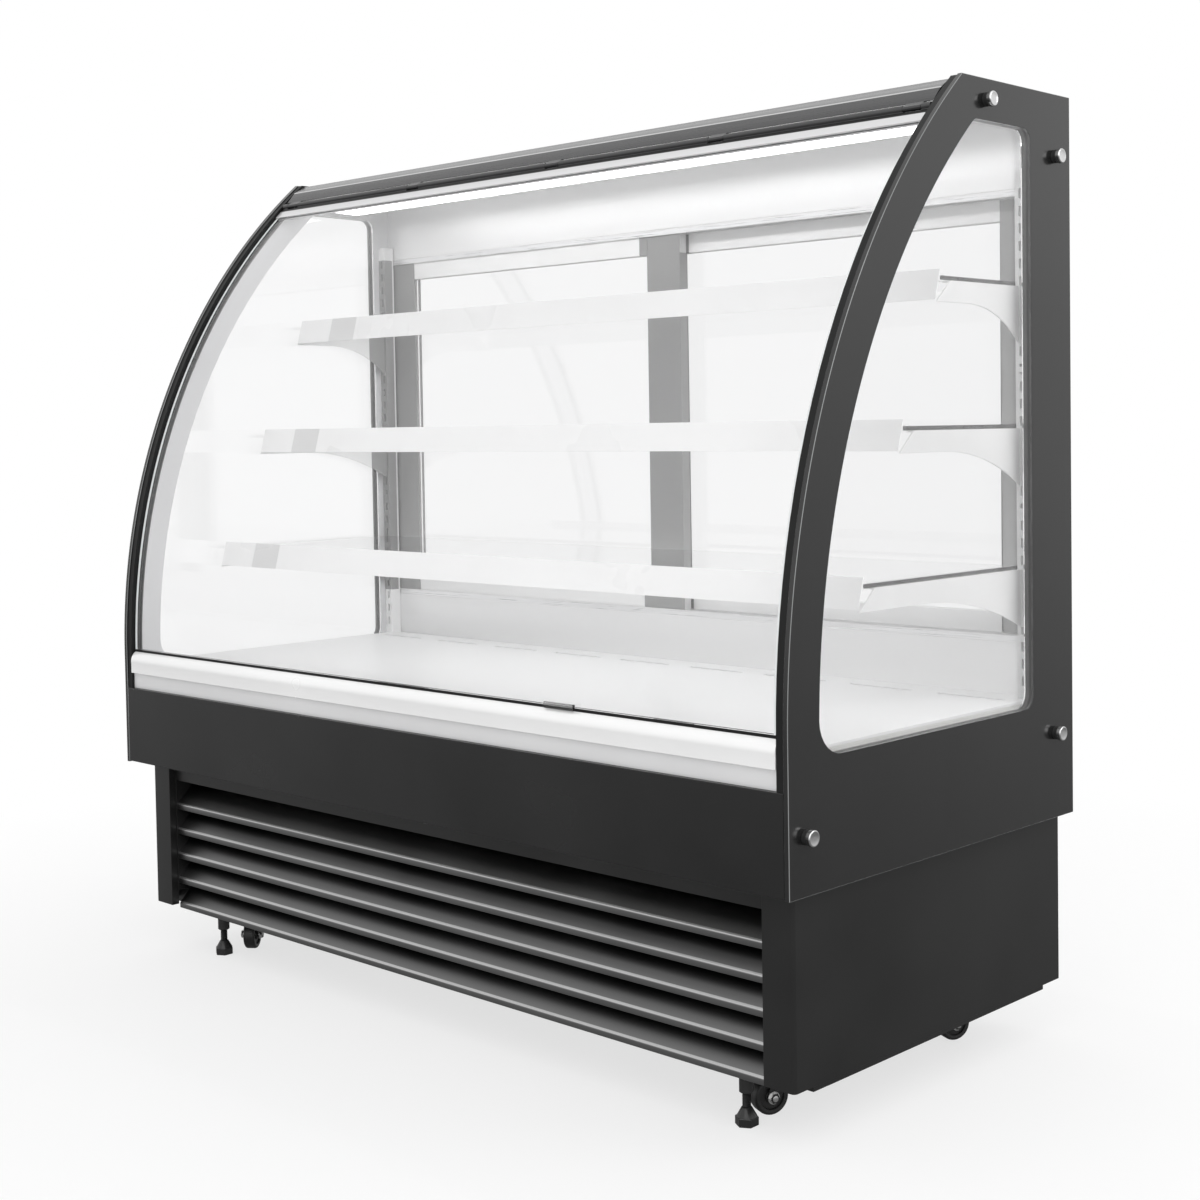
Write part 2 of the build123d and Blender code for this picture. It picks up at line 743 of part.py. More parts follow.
grille_y = return_back - sheet
grille_half = column_inner - seat_gap
blade_end = grille_half - sheet
blade_pitch = (plinth_top - grille_top_rail - blade_first_lip + blade_rise_gap) / blade_count
cheek_back = grille_y + blade_depth + blade_lip
cheek_bottom = tube_bottom + tube + tray_sheet + seat_gap
grille = block(-grille_half, grille_half, grille_y, grille_y + sheet, plinth_top - grille_top_rail,
               plinth_top)
for side in (1, -1):
    grille += block(side * blade_end, side * grille_half, grille_y, cheek_back, cheek_bottom,
                    plinth_top)
save("grille_frame", grille)
blades = []
for n in range(blade_count):
    z = blade_first_lip + blade_pitch * n
    y = grille_y + blade_sheet
    top_y = y + blade_depth
    blade = outline([(y, z - blade_lip), (y + blade_sheet, z - blade_lip), (y + blade_sheet, z - 1),
                     (top_y + blade_sheet, z + blade_depth), (top_y, z + blade_depth + 1), (y, z)])
    blades.append(run_along_x(blade, -blade_end, blade_end))
save("grille_blades", *blades)

tube_top = tube_bottom + tube
tube_front = plinth_front + tube_front_gap
tube_rear = rear - tube_rear_gap
caster_x = half - caster_end_gap
foot_x = half - foot_end_gap
caster_front = front + caster_front_gap
caster_rear = rear - caster_rear_gap
tube_end = plinth_half - sheet - seat_gap
frame = []
for y in (tube_front, tube_rear):
    frame.append(block(-tube_end, tube_end, y - tube / 2, y + tube / 2, tube_bottom, tube_top))
stem_hole = foot_stem_radius + running_gap
for side in (1, -1):
    hole = rod((side * foot_x, tube_front, tube_bottom - 1), (side * foot_x, tube_front, tube_top + 1),
               stem_hole)
    frame[0] -= hole
    for x in (side * caster_x, side * (tube_end - tube / 2)):
        frame.append(block(x - tube / 2, x + tube / 2, tube_front + tube / 2, tube_rear - tube / 2,
                           tube_bottom, tube_top))
save("base_frame", *frame)
tray_top = tube_top + tray_sheet
save("unit_tray", block(-tube_end, tube_end, tube_front + tube / 2, tube_rear + tube / 2, tube_top,
                        tray_top))

# Casters: plate with race, swivelling fork with axle bolt, wheel; brake pedals in front
plate_top = tube_bottom
plate_bottom = plate_top - caster_plate_thick
race_bottom = plate_bottom - race_height
crown_top = race_bottom - seat_gap
crown_bottom = crown_top - fork_sheet
leg_inner = wheel_width / 2 + slide_gap * 3
leg_outer = leg_inner + fork_sheet
bolt_half = leg_outer + axle_nut_length
corners = {"FR": (1, caster_front), "FL": (-1, caster_front), "RR": (1, caster_rear),
           "RL": (-1, caster_rear)}
plates = []
for name, (side, y) in corners.items():
    centre = Pos(side * caster_x, y, 0)
    plate = centre * block(-caster_plate / 2, caster_plate / 2, -caster_plate / 2,
                           caster_plate / 2, plate_bottom, plate_top)
    race = centre * rod((0, 0, race_bottom), (0, 0, plate_bottom), race_radius)
    bore = centre * rod((0, 0, race_bottom - 1), (0, 0, plate_bottom),
                        kingpin_radius + running_gap)
    plates.append(plate + race - bore)
    turn = centre * Rot(0, 0, caster_headings[name])
    disc = rod((0, 0, crown_bottom), (0, 0, crown_top), race_radius)
    pin = rod((0, 0, crown_top), (0, 0, plate_bottom - seat_gap), kingpin_radius)
    leg = make_face(Polyline((-race_radius * 0.8, crown_top), (race_radius, crown_top),
                             (caster_trail + axle_nut_radius + 2, wheel_radius),
                             (caster_trail, wheel_radius - axle_nut_radius - 2),
                             (caster_trail - axle_nut_radius - 4, wheel_radius),
                             close=True))
    legs = extrude(Plane.XZ.offset(-leg_outer) * leg, fork_sheet)
    legs += extrude(Plane.XZ.offset(leg_inner) * leg, fork_sheet)
    bridge = block(-race_radius * 0.8, race_radius * 0.4, -leg_outer, leg_outer, crown_bottom,
                   crown_top)
    ends = [(caster_trail, -bolt_half, wheel_radius), (caster_trail, bolt_half, wheel_radius)]
    axle_hole = rod(*ends, axle_radius)
    fork = legs + bridge + disc + pin - axle_hole
    nuts = [extrude(Plane.XZ.offset(offset) * Pos(caster_trail, wheel_radius)
                    * RegularPolygon(axle_nut_radius, 6), axle_nut_length)
            for offset in (leg_outer, -bolt_half)]
    bolt = rod((caster_trail, -leg_outer, wheel_radius), (caster_trail, leg_outer, wheel_radius),
               axle_radius) + nuts[0] + nuts[1]
    wheel = rod((caster_trail, -wheel_width / 2, wheel_radius),
                (caster_trail, wheel_width / 2, wheel_radius), wheel_radius)
    wheel = fillet(wheel.edges().filter_by(GeomType.CIRCLE), wheel_round)
    wheel -= rod(*ends, axle_radius + running_gap)
    save(f"caster_wheel_{name}", turn * wheel)
    if y < 0:
        fork_pin = rod((pedal_pivot, -leg_outer, pedal_height), (pedal_pivot, leg_outer, pedal_height),
                       pedal_pin)
        fork -= fork_pin
        shoe_low = wheel_radius * 2 + pedal_shoe_gap
        tongue_low = pedal_height - pedal_barrel + 1
        pedal = block(pedal_pivot, pedal_reach, -pedal_width / 2, pedal_width / 2,
                      tongue_low, tongue_low + pedal_thick)
        pedal += block(caster_trail - 3, caster_trail + 3, -pedal_width / 2, pedal_width / 2,
                       shoe_low, tongue_low + 1)
        pedal += rod((pedal_pivot, -pedal_width / 2, pedal_height),
                     (pedal_pivot, pedal_width / 2, pedal_height), pedal_barrel)
        pedal -= rod((pedal_pivot, -pedal_width, pedal_height),
                     (pedal_pivot, pedal_width, pedal_height), pedal_pin + running_gap)
        save(f"brake_pedal_{name}", turn * pedal)
        save(f"caster_fork_{name}", turn * fork, turn * bolt, turn * fork_pin)
    else:
        save(f"caster_fork_{name}", turn * fork, turn * bolt)
save("caster_plates", *plates)

# Levelling feet screwed up through the front tube
cone_top = foot_pad_height + foot_cone_height
for name, side in (("right", 1), ("left", -1)):
    place = Pos(side * foot_x, tube_front, 0)
    pad = extrude(RegularPolygon(foot_pad_radius, 6), foot_pad_height)
    cone = Pos(0, 0, foot_pad_height + foot_cone_height / 2) * Cone(
        foot_cone_bottom_radius, foot_cone_top_radius, foot_cone_height)
    stem = rod((0, 0, cone_top - 1), (0, 0, foot_stem_top), foot_stem_radius)
    save(f"levelling_foot_{name}", place * (pad + cone + stem))

# Refrigeration unit on its tray: compressor on grommets, condenser, fan in its shroud
compressor_y = rear - compressor_rear_gap
condenser_y = front + condenser_front_gap
foot_bottom = tray_top + grommet_height
can_bottom = foot_bottom + tray_sheet
can = rod((compressor_x, compressor_y, can_bottom),
          (compressor_x, compressor_y, can_bottom + compressor_height), compressor_radius)
can = fillet(can.edges().group_by(Axis.Z)[-1], compressor_dome)
foot_half = compressor_foot / 2
can += block(compressor_x - foot_half, compressor_x + foot_half, compressor_y - foot_half,
             compressor_y + foot_half, foot_bottom, can_bottom)
grommet_reach = foot_half - grommet_radius
grommets = []
for x in (compressor_x - grommet_reach, compressor_x + grommet_reach):
    for y in (compressor_y - grommet_reach, compressor_y + grommet_reach):
        grommets.append(rod((x, y, tray_top), (x, y, foot_bottom), grommet_radius))
save("compressor", can, *grommets)


def finned_coil(length, fins, y_front, y_back, bottom, top):
    """Finned block along X, with a comb of slots cut in its front face."""
    coil = block(-length / 2, length / 2, y_front, y_back, bottom, top)
    pitch = length / fins
    gap = pitch * fin_gap_share / 2
    for n in range(1, fins):
        x = pitch * n - length / 2
        coil -= block(x - gap, x + gap, y_front - 1, y_front + fin_depth, bottom + fin_margin,
                      top - fin_margin)
    return coil


condenser_top = tray_top + condenser_height
coil_back = condenser_y + condenser_depth
save("condenser_coil", finned_coil(condenser_length, condenser_fins, condenser_y, coil_back,
                                   tray_top, condenser_top))
fan_z = (tray_top + condenser_top) / 2
shroud_front = coil_back + seat_gap
shroud_back = shroud_front + shroud_depth
shroud = block(-condenser_length / 2, condenser_length / 2, shroud_front, shroud_back, tray_top,
               condenser_top)
shroud -= rod((0, shroud_front - 1, fan_z), (0, shroud_back + 1, fan_z), fan_radius + fan_ring_gap)
motor_front = shroud_back + seat_gap
motor = rod((0, motor_front, fan_z), (0, motor_front + motor_length, fan_z), motor_radius)
motor += block(-motor_foot_width / 2, motor_foot_width / 2, motor_front,
               motor_front + motor_length, tray_top, fan_z)
motor += rod((0, motor_front - shaft_length, fan_z), (0, motor_front, fan_z), shaft_radius)
save("condenser_fan_shroud", shroud, motor)


def fan(hub_radius, tip_radius):
    """Bladed rotor about +Y, front face at Y = 0, with a bore for its shaft."""
    half_length = fan_length / 2
    rotor = rod((0, 0, 0), (0, fan_length, 0), hub_radius)
    blade = block(-fan_blade_thick / 2, fan_blade_thick / 2, -half_length, half_length,
                  hub_radius * cos(radians(fan_pitch)), tip_radius)
    for n in range(fan_blades):
        rotor += Rot(0, 360 / fan_blades * n, 0) * Pos(0, half_length, 0) * Rot(0, 0, fan_pitch) * blade
    reach = rod((0, 0, 0), (0, fan_length, 0), tip_radius)
    return (rotor & reach) - rod((0, -1, 0), (0, fan_length + 1, 0), shaft_radius + running_gap)


rotor_y = motor_front - fan_ring_gap / 2 - fan_length
save("condenser_fan_rotor", Pos(0, rotor_y, fan_z) * fan(fan_hub_radius, fan_radius))

# Evaporator coil and its fan in the cold tub
evap_bottom = cavity_bottom + sheet + seat_gap
evap_top = evap_bottom + coil_height
evap_back = tub_rear - sheet - seat_gap
evap_front = evap_back - coil_depth
evaporator = finned_coil(coil_length, coil_fins, evap_front, evap_back, evap_bottom, evap_top)
case_room = evap_fan_radius + fan_ring_gap
fan_mid = evap_bottom + case_room
case_back = evap_front - seat_gap
case_front = case_back - evap_case_depth
web_front = case_back - evap_case_wall
fan_case = block(-evap_case_width / 2, evap_case_width / 2, case_front, case_back, evap_bottom,
                 fan_mid + case_room)
fan_case -= rod((0, case_front - 1, fan_mid), (0, web_front, fan_mid),
                evap_fan_radius + fan_ring_gap / 2)
fan_case += rod((0, web_front - shaft_length, fan_mid), (0, web_front, fan_mid), shaft_radius)
save("evaporator_coil", evaporator, fan_case)
evap_rotor_y = web_front - fan_ring_gap / 2 - fan_length
save("evaporator_fan_rotor", Pos(0, evap_rotor_y, fan_mid) * fan(evap_hub_radius, evap_fan_radius))
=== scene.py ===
"""Looks of the refrigerated bakery display case, in metres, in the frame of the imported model.

+X is the shopper's right, -Y the front, +Z up, and the floor is at Z = 0.
"""
import json
import math

import bmesh
import bpy
import numpy as np
from mathutils import Matrix, Vector

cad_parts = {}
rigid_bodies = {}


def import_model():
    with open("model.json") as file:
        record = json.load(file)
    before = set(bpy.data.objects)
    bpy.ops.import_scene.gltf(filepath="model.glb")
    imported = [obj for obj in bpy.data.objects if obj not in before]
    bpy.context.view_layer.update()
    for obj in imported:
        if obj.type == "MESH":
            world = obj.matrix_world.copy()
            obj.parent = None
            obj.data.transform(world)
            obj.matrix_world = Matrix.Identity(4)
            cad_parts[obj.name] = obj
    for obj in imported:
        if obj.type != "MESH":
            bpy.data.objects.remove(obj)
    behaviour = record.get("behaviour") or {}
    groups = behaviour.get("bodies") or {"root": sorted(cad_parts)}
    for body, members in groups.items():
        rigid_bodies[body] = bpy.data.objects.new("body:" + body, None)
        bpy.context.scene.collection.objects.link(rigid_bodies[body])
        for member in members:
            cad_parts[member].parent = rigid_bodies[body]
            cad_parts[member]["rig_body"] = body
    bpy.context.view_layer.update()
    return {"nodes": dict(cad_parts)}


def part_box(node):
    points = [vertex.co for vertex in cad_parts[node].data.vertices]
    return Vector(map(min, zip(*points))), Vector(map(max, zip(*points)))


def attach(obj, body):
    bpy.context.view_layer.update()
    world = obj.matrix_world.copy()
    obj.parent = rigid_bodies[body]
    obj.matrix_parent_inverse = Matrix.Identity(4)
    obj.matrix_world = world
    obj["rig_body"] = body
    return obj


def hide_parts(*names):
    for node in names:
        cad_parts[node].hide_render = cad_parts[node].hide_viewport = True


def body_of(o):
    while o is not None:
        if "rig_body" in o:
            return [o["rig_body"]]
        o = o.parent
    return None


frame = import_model()
nodes = frame["nodes"]

MM = 0.001

# Camera: place, turn about Z, tilt down, roll, lens and shift, fitted to the photograph's edges
CAMERA_PLACE = (2.1196, -2.0293, 0.9144)
CAMERA_TURN = 43.147
CAMERA_TILT = 2.388
CAMERA_ROLL = -0.881
CAMERA_LENS = 54.538
CAMERA_SHIFT = (-0.0422, -0.0813)

# Outline of the end walls, as the cabinet was made
ARC_RADIUS = 1125 * MM
ARC_START = 531 * MM
WINDOW_BORDER = 62 * MM
WINDOW_BOTTOM = 504 * MM
WINDOW_TOP = 1325 * MM
WINDOW_REAR = 225 * MM
WINDOW_CORNERS = (46 * MM, 22 * MM, 18 * MM, 18 * MM)
GLASS_INSET = 9 * MM
GLASS_THICK = 6 * MM

# Bands of another colour: axis, low and high end; a fade is how softly both ends of a band run out
CORE_INNER_FACE = ("|X|", 0.0, 728.2 * MM)
# Lower part of the door stiles painted lighter: painted light, softened by its fade
STILE_FOOT_LIGHT = ("Z", 500 * MM, 850 * MM)
STILE_LIGHT_FADE = 200 * MM
BETWEEN_STILES = ("|X|", 46.5 * MM, 652.5 * MM)
DOOR_LOWER_RAIL = ("Z", 550 * MM, 631.5 * MM)
DOOR_UPPER_RAIL = ("Z", 1207.5 * MM, 1300 * MM)
STRIP_LEFT_END = ("X", -620 * MM, -547 * MM)
LEFT_UPRIGHT = (("X", -800 * MM, -700 * MM), ("Y", 200 * MM, 256.5 * MM), ("Z", 600 * MM, 1247.5 * MM))
# Rail: painted highlights on the upper facet and the ridge; hinge leaf: dark root, and a painted shadow line
# for the gap under it
RAIL_CROWN_HIGHLIGHT = ("Z", 1364.7 * MM, 1400 * MM)
RAIL_RIDGE_HIGHLIGHT = ("Z", 1363.2 * MM, 1365.4 * MM)
HINGE_LEAF_ROOT = ("Z", 1332 * MM, 1350 * MM)
HINGE_GAP_SHADOW = ("Z", 1327 * MM, 1332 * MM)
# Blades: painted shade towards the rear of the slope, with its fade, and a painted highlight on the rolled
# fold
BLADE_BACK_SHADE = ("Y", -266 * MM, -200 * MM)
BLADE_SHADE_FADE = 14 * MM
BLADE_FOLD_HIGHLIGHT = ("Y", -282.4 * MM, -280.1 * MM)

# Stations along the arcs of the end walls, of their windows and of the front glass
END_STATIONS = 72
WINDOW_STATIONS = 96
SHEET_STATIONS = 97

# World light: height of the direction from and to, strength from and to, for plain and for glossy rays
PLAIN_LIGHT = (-0.35, 0.6, 0.4, 1.0)
GLOSSY_LIGHT = (-0.3, 0.15, 0.2, 1.0)

# Lamps: name, place, target, size, power
LAMPS = (
    ("key", (2.5, -3.0, 3.6), (0, 0, 0.7), (4.5, 4.5), 62),
    ("side", (3.5, 1.5, 2.6), (0.6, 0, 0.9), (2.0, 2.0), 35),
    ("inside", (0, 0.12, 1.325), (0, 0.1, 0.5), (1.35, 0.05), 1.4),
)

# Floor: half its size, thickness, paint; distance from and to, and share of plain white from and to
FLOOR_HALF = 30.0
FLOOR_THICK = 0.02
FLOOR_PAINT = 0.82
FLOOR_FADE = (0.9, 2.0, 0.7, 1.0)


# Node groups: effects that several materials share

def new_group(name, inputs, outputs):
    """Shader node group with named sockets, each (name, kind, default)."""
    group = bpy.data.node_groups.new(name, "ShaderNodeTree")
    for label, kind, default in inputs:
        socket = group.interface.new_socket(name=label, in_out="INPUT", socket_type=kind)
        socket.default_value = default
    for label, kind in outputs:
        group.interface.new_socket(name=label, in_out="OUTPUT", socket_type=kind)
    return group, group.nodes.new("NodeGroupInput"), group.nodes.new("NodeGroupOutput")


def noise(tree, vector, scale, detail=2.0, roughness=0.5):
    """Noise texture node fed by a vector and a scale, each a socket or a value."""
    node = tree.nodes.new("ShaderNodeTexNoise")
    node.inputs["Detail"].default_value = detail
    node.inputs["Roughness"].default_value = roughness
    tree.links.new(vector, node.inputs["Vector"])
    if hasattr(scale, "node"):
        tree.links.new(scale, node.inputs["Scale"])
    else:
        node.inputs["Scale"].default_value = scale
    return node.outputs["Fac"]


def spread(tree, value, low, high, to_low=0.0, to_high=1.0):
    """Map Range from low..high to to_low..to_high, clamped."""
    node = tree.nodes.new("ShaderNodeMapRange")
    for label, number in (("From Min", low), ("From Max", high), ("To Min", to_low), ("To Max", to_high)):
        if hasattr(number, "node"):
            tree.links.new(number, node.inputs[label])
        else:
            node.inputs[label].default_value = number
    tree.links.new(value, node.inputs["Value"])
    return node.outputs["Result"]


def maths(tree, operation, first, second):
    """Math node on two sockets or values."""
    node = tree.nodes.new("ShaderNodeMath")
    node.operation = operation
    for socket, value in zip(node.inputs, (first, second)):
        if hasattr(value, "node"):
            tree.links.new(value, socket)
        else:
            socket.default_value = value
    return node.outputs["Value"]


def powder_group():
    """Powder coat: fine dimples for the height, and slow cloudy change for shade and gloss."""
    group, inside, outside = new_group(
        "powder_coat",
        [("Vector", "NodeSocketVector", (0, 0, 0)), ("Grain", "NodeSocketFloat", 900.0)],
        [("Height", "NodeSocketFloat"), ("Cloud", "NodeSocketFloat")])
    vector = inside.outputs["Vector"]
    fine = noise(group, vector, inside.outputs["Grain"], 1.0)
    cloud = noise(group, vector, 5.0, 3.0)
    group.links.new(fine, outside.inputs["Height"])
    group.links.new(spread(group, cloud, 0.3, 0.7), outside.inputs["Cloud"])
    return group


def brushed_group():
    """Brushed metal: noise on stretched coordinates for the grain, and broad bands across it."""
    group, inside, outside = new_group(
        "brushed_metal",
        [("Vector", "NodeSocketVector", (0, 0, 0)), ("Grain", "NodeSocketFloat", 1.0)],
        [("Height", "NodeSocketFloat"), ("Streak", "NodeSocketFloat"), ("Cloud", "NodeSocketFloat")])
    vector = inside.outputs["Vector"]
    fine = noise(group, vector, inside.outputs["Grain"], 3.0, 0.6)
    broad = noise(group, vector, maths(group, "MULTIPLY", inside.outputs["Grain"], 0.07), 2.0)
    group.links.new(fine, outside.inputs["Height"])
    group.links.new(spread(group, fine, 0.35, 0.65), outside.inputs["Streak"])
    group.links.new(spread(group, broad, 0.3, 0.7), outside.inputs["Cloud"])
    return group


def smudge_group():
    """Wiped surface: soft smears where hands and cloths go."""
    group, inside, outside = new_group(
        "wiped_surface", [("Vector", "NodeSocketVector", (0, 0, 0))], [("Smear", "NodeSocketFloat")])
    smear = noise(group, inside.outputs["Vector"], 7.0, 4.0, 0.62)
    group.links.new(spread(group, smear, 0.42, 0.72), outside.inputs["Smear"])
    return group


def band_group():
    """Band: 1 between Low and High, with a slope of twice Soft across each of them."""
    group, inside, outside = new_group(
        "band",
        [("Place", "NodeSocketFloat", 0.0), ("Low", "NodeSocketFloat", 0.0),
         ("High", "NodeSocketFloat", 1.0), ("Soft", "NodeSocketFloat", 0.0002)],
        [("Inside", "NodeSocketFloat")])
    soft = inside.outputs["Soft"]
    past_low, past_high = (
        spread(group, inside.outputs["Place"], maths(group, "SUBTRACT", inside.outputs[end], soft),
               maths(group, "ADD", inside.outputs[end], soft)) for end in ("Low", "High"))
    before_high = maths(group, "SUBTRACT", 1.0, past_high)
    group.links.new(maths(group, "MULTIPLY", past_low, before_high), outside.inputs["Inside"])
    return group


POWDER = powder_group()
BRUSHED = brushed_group()
SMUDGE = smudge_group()
BAND = band_group()


# Materials

def start(name):
    """New material: its tree, its Principled shader and Object coordinates."""
    material = bpy.data.materials.new(name)
    material.use_nodes = True
    tree = material.node_tree
    shader = tree.nodes["Principled BSDF"]
    coordinates = tree.nodes.new("ShaderNodeTexCoord")
    return material, tree, shader, coordinates.outputs["Object"]


def stretch(tree, vector, scale):
    """Mapping node that scales a vector."""
    node = tree.nodes.new("ShaderNodeMapping")
    node.inputs["Scale"].default_value = scale
    tree.links.new(vector, node.inputs["Vector"])
    return node.outputs["Vector"]


def place_group(tree, group, source, **values):
    """Put a node group in a material, with its first input from a socket and the others from values."""
    node = tree.nodes.new("ShaderNodeGroup")
    node.node_tree = group
    tree.links.new(source, node.inputs[0])
    for label, value in values.items():
        node.inputs[label].default_value = value
    return node.outputs


def shades(tree, shader, factor, dark, light):
    """Base Color between two colours by a factor."""
    node = tree.nodes.new("ShaderNodeMix")
    node.data_type = "RGBA"
    node.inputs["A"].default_value = (*dark, 1)
    node.inputs["B"].default_value = (*light, 1)
    tree.links.new(factor, node.inputs["Factor"])
    tree.links.new(node.outputs["Result"], shader.inputs["Base Color"])


def bump(tree, shader, height, depth):
    """Bump of a given depth in metres."""
    node = tree.nodes.new("ShaderNodeBump")
    node.inputs["Strength"].default_value = 0.3
    node.inputs["Distance"].default_value = depth
    tree.links.new(height, node.inputs["Height"])
    tree.links.new(node.outputs["Normal"], shader.inputs["Normal"])


def painted(name, dark, light, rough, grain=900.0, depth=0.00004, coat=0.0, metallic=0.0):
    """Powder-coated or moulded surface: two near shades, gloss that varies, dimples."""
    material, tree, shader, vector = start(name)
    powder = place_group(tree, POWDER, vector, Grain=grain)
    shades(tree, shader, powder["Cloud"], dark, light)
    tree.links.new(spread(tree, powder["Cloud"], 0, 1, *rough), shader.inputs["Roughness"])
    shader.inputs["Coat Weight"].default_value = coat
    shader.inputs["Metallic"].default_value = metallic
    bump(tree, shader, powder["Height"], depth)
    return material


def brushed(name, dark, light, rough, along, metallic=1.0, grain=1.0, depth=0.00002):
    """Brushed or drawn metal, with its grain along X, Y or Z."""
    material, tree, shader, vector = start(name)
    scale = [900.0, 900.0, 900.0]
    scale["XYZ".index(along)] = 9.0
    metal = place_group(tree, BRUSHED, stretch(tree, vector, scale), Grain=grain)
    mixed = maths(tree, "MULTIPLY_ADD", metal["Streak"], 0.35)
    tree.links.new(metal["Cloud"], mixed.node.inputs[2])
    shades(tree, shader, spread(tree, mixed, 0.0, 1.35), dark, light)
    tree.links.new(spread(tree, metal["Streak"], 0, 1, *rough), shader.inputs["Roughness"])
    shader.inputs["Metallic"].default_value = metallic
    bump(tree, shader, metal["Height"], depth)
    return material


def recolour(material, bands, colour, soft=0.0002):
    """Another colour where the Object coordinates lie within all bands: axis, low, high; |X| has no sign."""
    tree = material.node_tree
    shader = tree.nodes["Principled BSDF"]
    coordinates = tree.nodes.new("ShaderNodeTexCoord")
    split = tree.nodes.new("ShaderNodeSeparateXYZ")
    tree.links.new(coordinates.outputs["Object"], split.inputs["Vector"])
    inside = None
    for axis, low, high in bands:
        place = split.outputs[axis.strip("|")]
        if axis.startswith("|"):
            place = maths(tree, "ABSOLUTE", place, 0.0)
        within = place_group(tree, BAND, place, Low=low, High=high, Soft=soft)["Inside"]
        inside = maths(tree, "MULTIPLY", inside, within) if inside else within
    node = tree.nodes.new("ShaderNodeMix")
    node.data_type = "RGBA"
    old = shader.inputs["Base Color"].links[0].from_socket
    tree.links.new(inside, node.inputs["Factor"])
    tree.links.new(old, node.inputs["A"])
    node.inputs["B"].default_value = (*colour, 1)
    tree.links.new(node.outputs["Result"], shader.inputs["Base Color"])


def clear(name, tint, rough=0.0):
    """Clear sheet glass with faint wiping marks in its gloss."""
    material, tree, shader, vector = start(name)
    shader.inputs["Base Color"].default_value = (*tint, 1)
    shader.inputs["Transmission Weight"].default_value = 1.0
    shader.inputs["IOR"].default_value = 1.45
    wiped = place_group(tree, SMUDGE, vector)
    tree.links.new(spread(tree, wiped["Smear"], 0, 1, rough, rough + 0.02), shader.inputs["Roughness"])
    return material


def glowing(name, strength):
    """Lamp diffuser: milky plastic that gives white light."""
    material, tree, shader, vector = start(name)
    powder = place_group(tree, POWDER, vector, Grain=400.0)
    shades(tree, shader, powder["Cloud"], grey(0.9), grey(0.96))
    shader.inputs["Roughness"].default_value = 0.4
    shader.inputs["Emission Color"].default_value = (1, 1, 1, 1)
    shader.inputs["Emission Strength"].default_value = strength
    return material


def reflect(material, level):
    """Strength of a material's clear reflection, where 0.5 is usual."""
    material.node_tree.nodes["Principled BSDF"].inputs["Specular IOR Level"].default_value = level


def grey(level, blue=0.0):
    """Linear grey, with a little more blue where asked."""
    return (level, level, level + blue)


black_border = painted("black_border", grey(0.010), grey(0.013), (0.16, 0.22), 500.0, 0.00001, coat=0.2)
core_black = painted("core_black", grey(0.010), grey(0.014), (0.3, 0.4), 500.0)
black_coat = painted("black_coat", grey(0.010), grey(0.014), (0.3, 0.38))
black_sheet = painted("black_sheet", grey(0.008), grey(0.012), (0.2, 0.28), 700.0)
blade_coat = painted("blade_coat", grey(0.16), grey(0.19), (0.3, 0.38), 800.0, metallic=1.0)
moulded = painted("moulded_plastic", grey(0.016), grey(0.024), (0.45, 0.6), 500.0, 0.00006)
seal_skin = painted("seal_rubber", grey(0.010), grey(0.016), (0.35, 0.45), 300.0)
reflect(seal_skin, 0.15)
white_coat = painted("white_coat", grey(0.78), grey(0.86), (0.3, 0.4), 700.0)
white_strip = painted("white_strip", grey(0.88), grey(0.93), (0.25, 0.35), 300.0, 0.00002)
deck_coat = painted("deck_coat", grey(0.87, 0.002), grey(0.89, 0.002), (0.36, 0.44), 500.0)
door_coat = painted("door_coat", grey(0.24), grey(0.28), (0.35, 0.45), 700.0)
foam_skin = painted("foam_skin", grey(0.6, -0.02), grey(0.7, -0.02), (0.5, 0.7), 200.0, 0.0002)
zinc_plate = painted("zinc_plate", grey(0.42), grey(0.55, -0.01), (0.3, 0.45), 60.0, 0.00003, metallic=0.6)
tread = painted("wheel_tread", grey(0.014), grey(0.022), (0.38, 0.5), 400.0, 0.00005)
dark_zinc = painted("dark_zinc", grey(0.014), grey(0.024), (0.28, 0.4), 200.0)
bright_nut = painted("bright_nut", grey(0.62), grey(0.74, -0.01), (0.2, 0.3), 300.0, 0.00002, metallic=1.0)
can_black = painted("can_black", grey(0.01), grey(0.016), (0.2, 0.3), 250.0, 0.00005)
nose_white = painted("satin_nose", grey(0.88), grey(0.92), (0.22, 0.28), 900.0, 0.00001, metallic=0.2)
trim_grey = painted("satin_trim", grey(0.74, 0.005), grey(0.78, 0.005), (0.28, 0.34), 900.0, 0.00001,
                    metallic=0.2)
# Lighter grey for the polished chamfers of the end walls: a painted highlight
edge_highlight = painted("polished_edge_highlight", (0.18, 0.185, 0.185), (0.26, 0.265, 0.265), (0.12, 0.2), 300.0, 0.00001)
ground_edge = painted("ground_edge", (0.8, 0.82, 0.82), (0.88, 0.9, 0.9), (0.35, 0.45), 300.0, 0.00002)
satin_x = brushed("satin_aluminium", grey(0.74, 0.005), grey(0.82, 0.005), (0.26, 0.4), "X", 0.7)
steel_x = brushed("steel_along_x", grey(0.82, 0.002), grey(0.87, 0.002), (0.34, 0.42), "X", 0.45, 0.5,
                  0.000008)
rail_metal = brushed("rail_metal", grey(0.075, 0.001), grey(0.095, 0.002), (0.26, 0.34), "X", 0.85)
leaf_metal = brushed("leaf_metal", grey(0.7, 0.005), grey(0.78, 0.005), (0.28, 0.4), "X", 0.7)
fin_metal = brushed("fin_metal", grey(0.55, 0.01), grey(0.68, 0.01), (0.3, 0.45), "Z")
polished = brushed("polished_steel", grey(0.62), grey(0.72), (0.08, 0.16), "X", grain=0.4, depth=0.000005)
front_clear = clear("front_clear", grey(0.985, 0.001))
reflect(front_clear, 0.8)
pane_clear = clear("pane_clear", grey(0.98, 0.001))
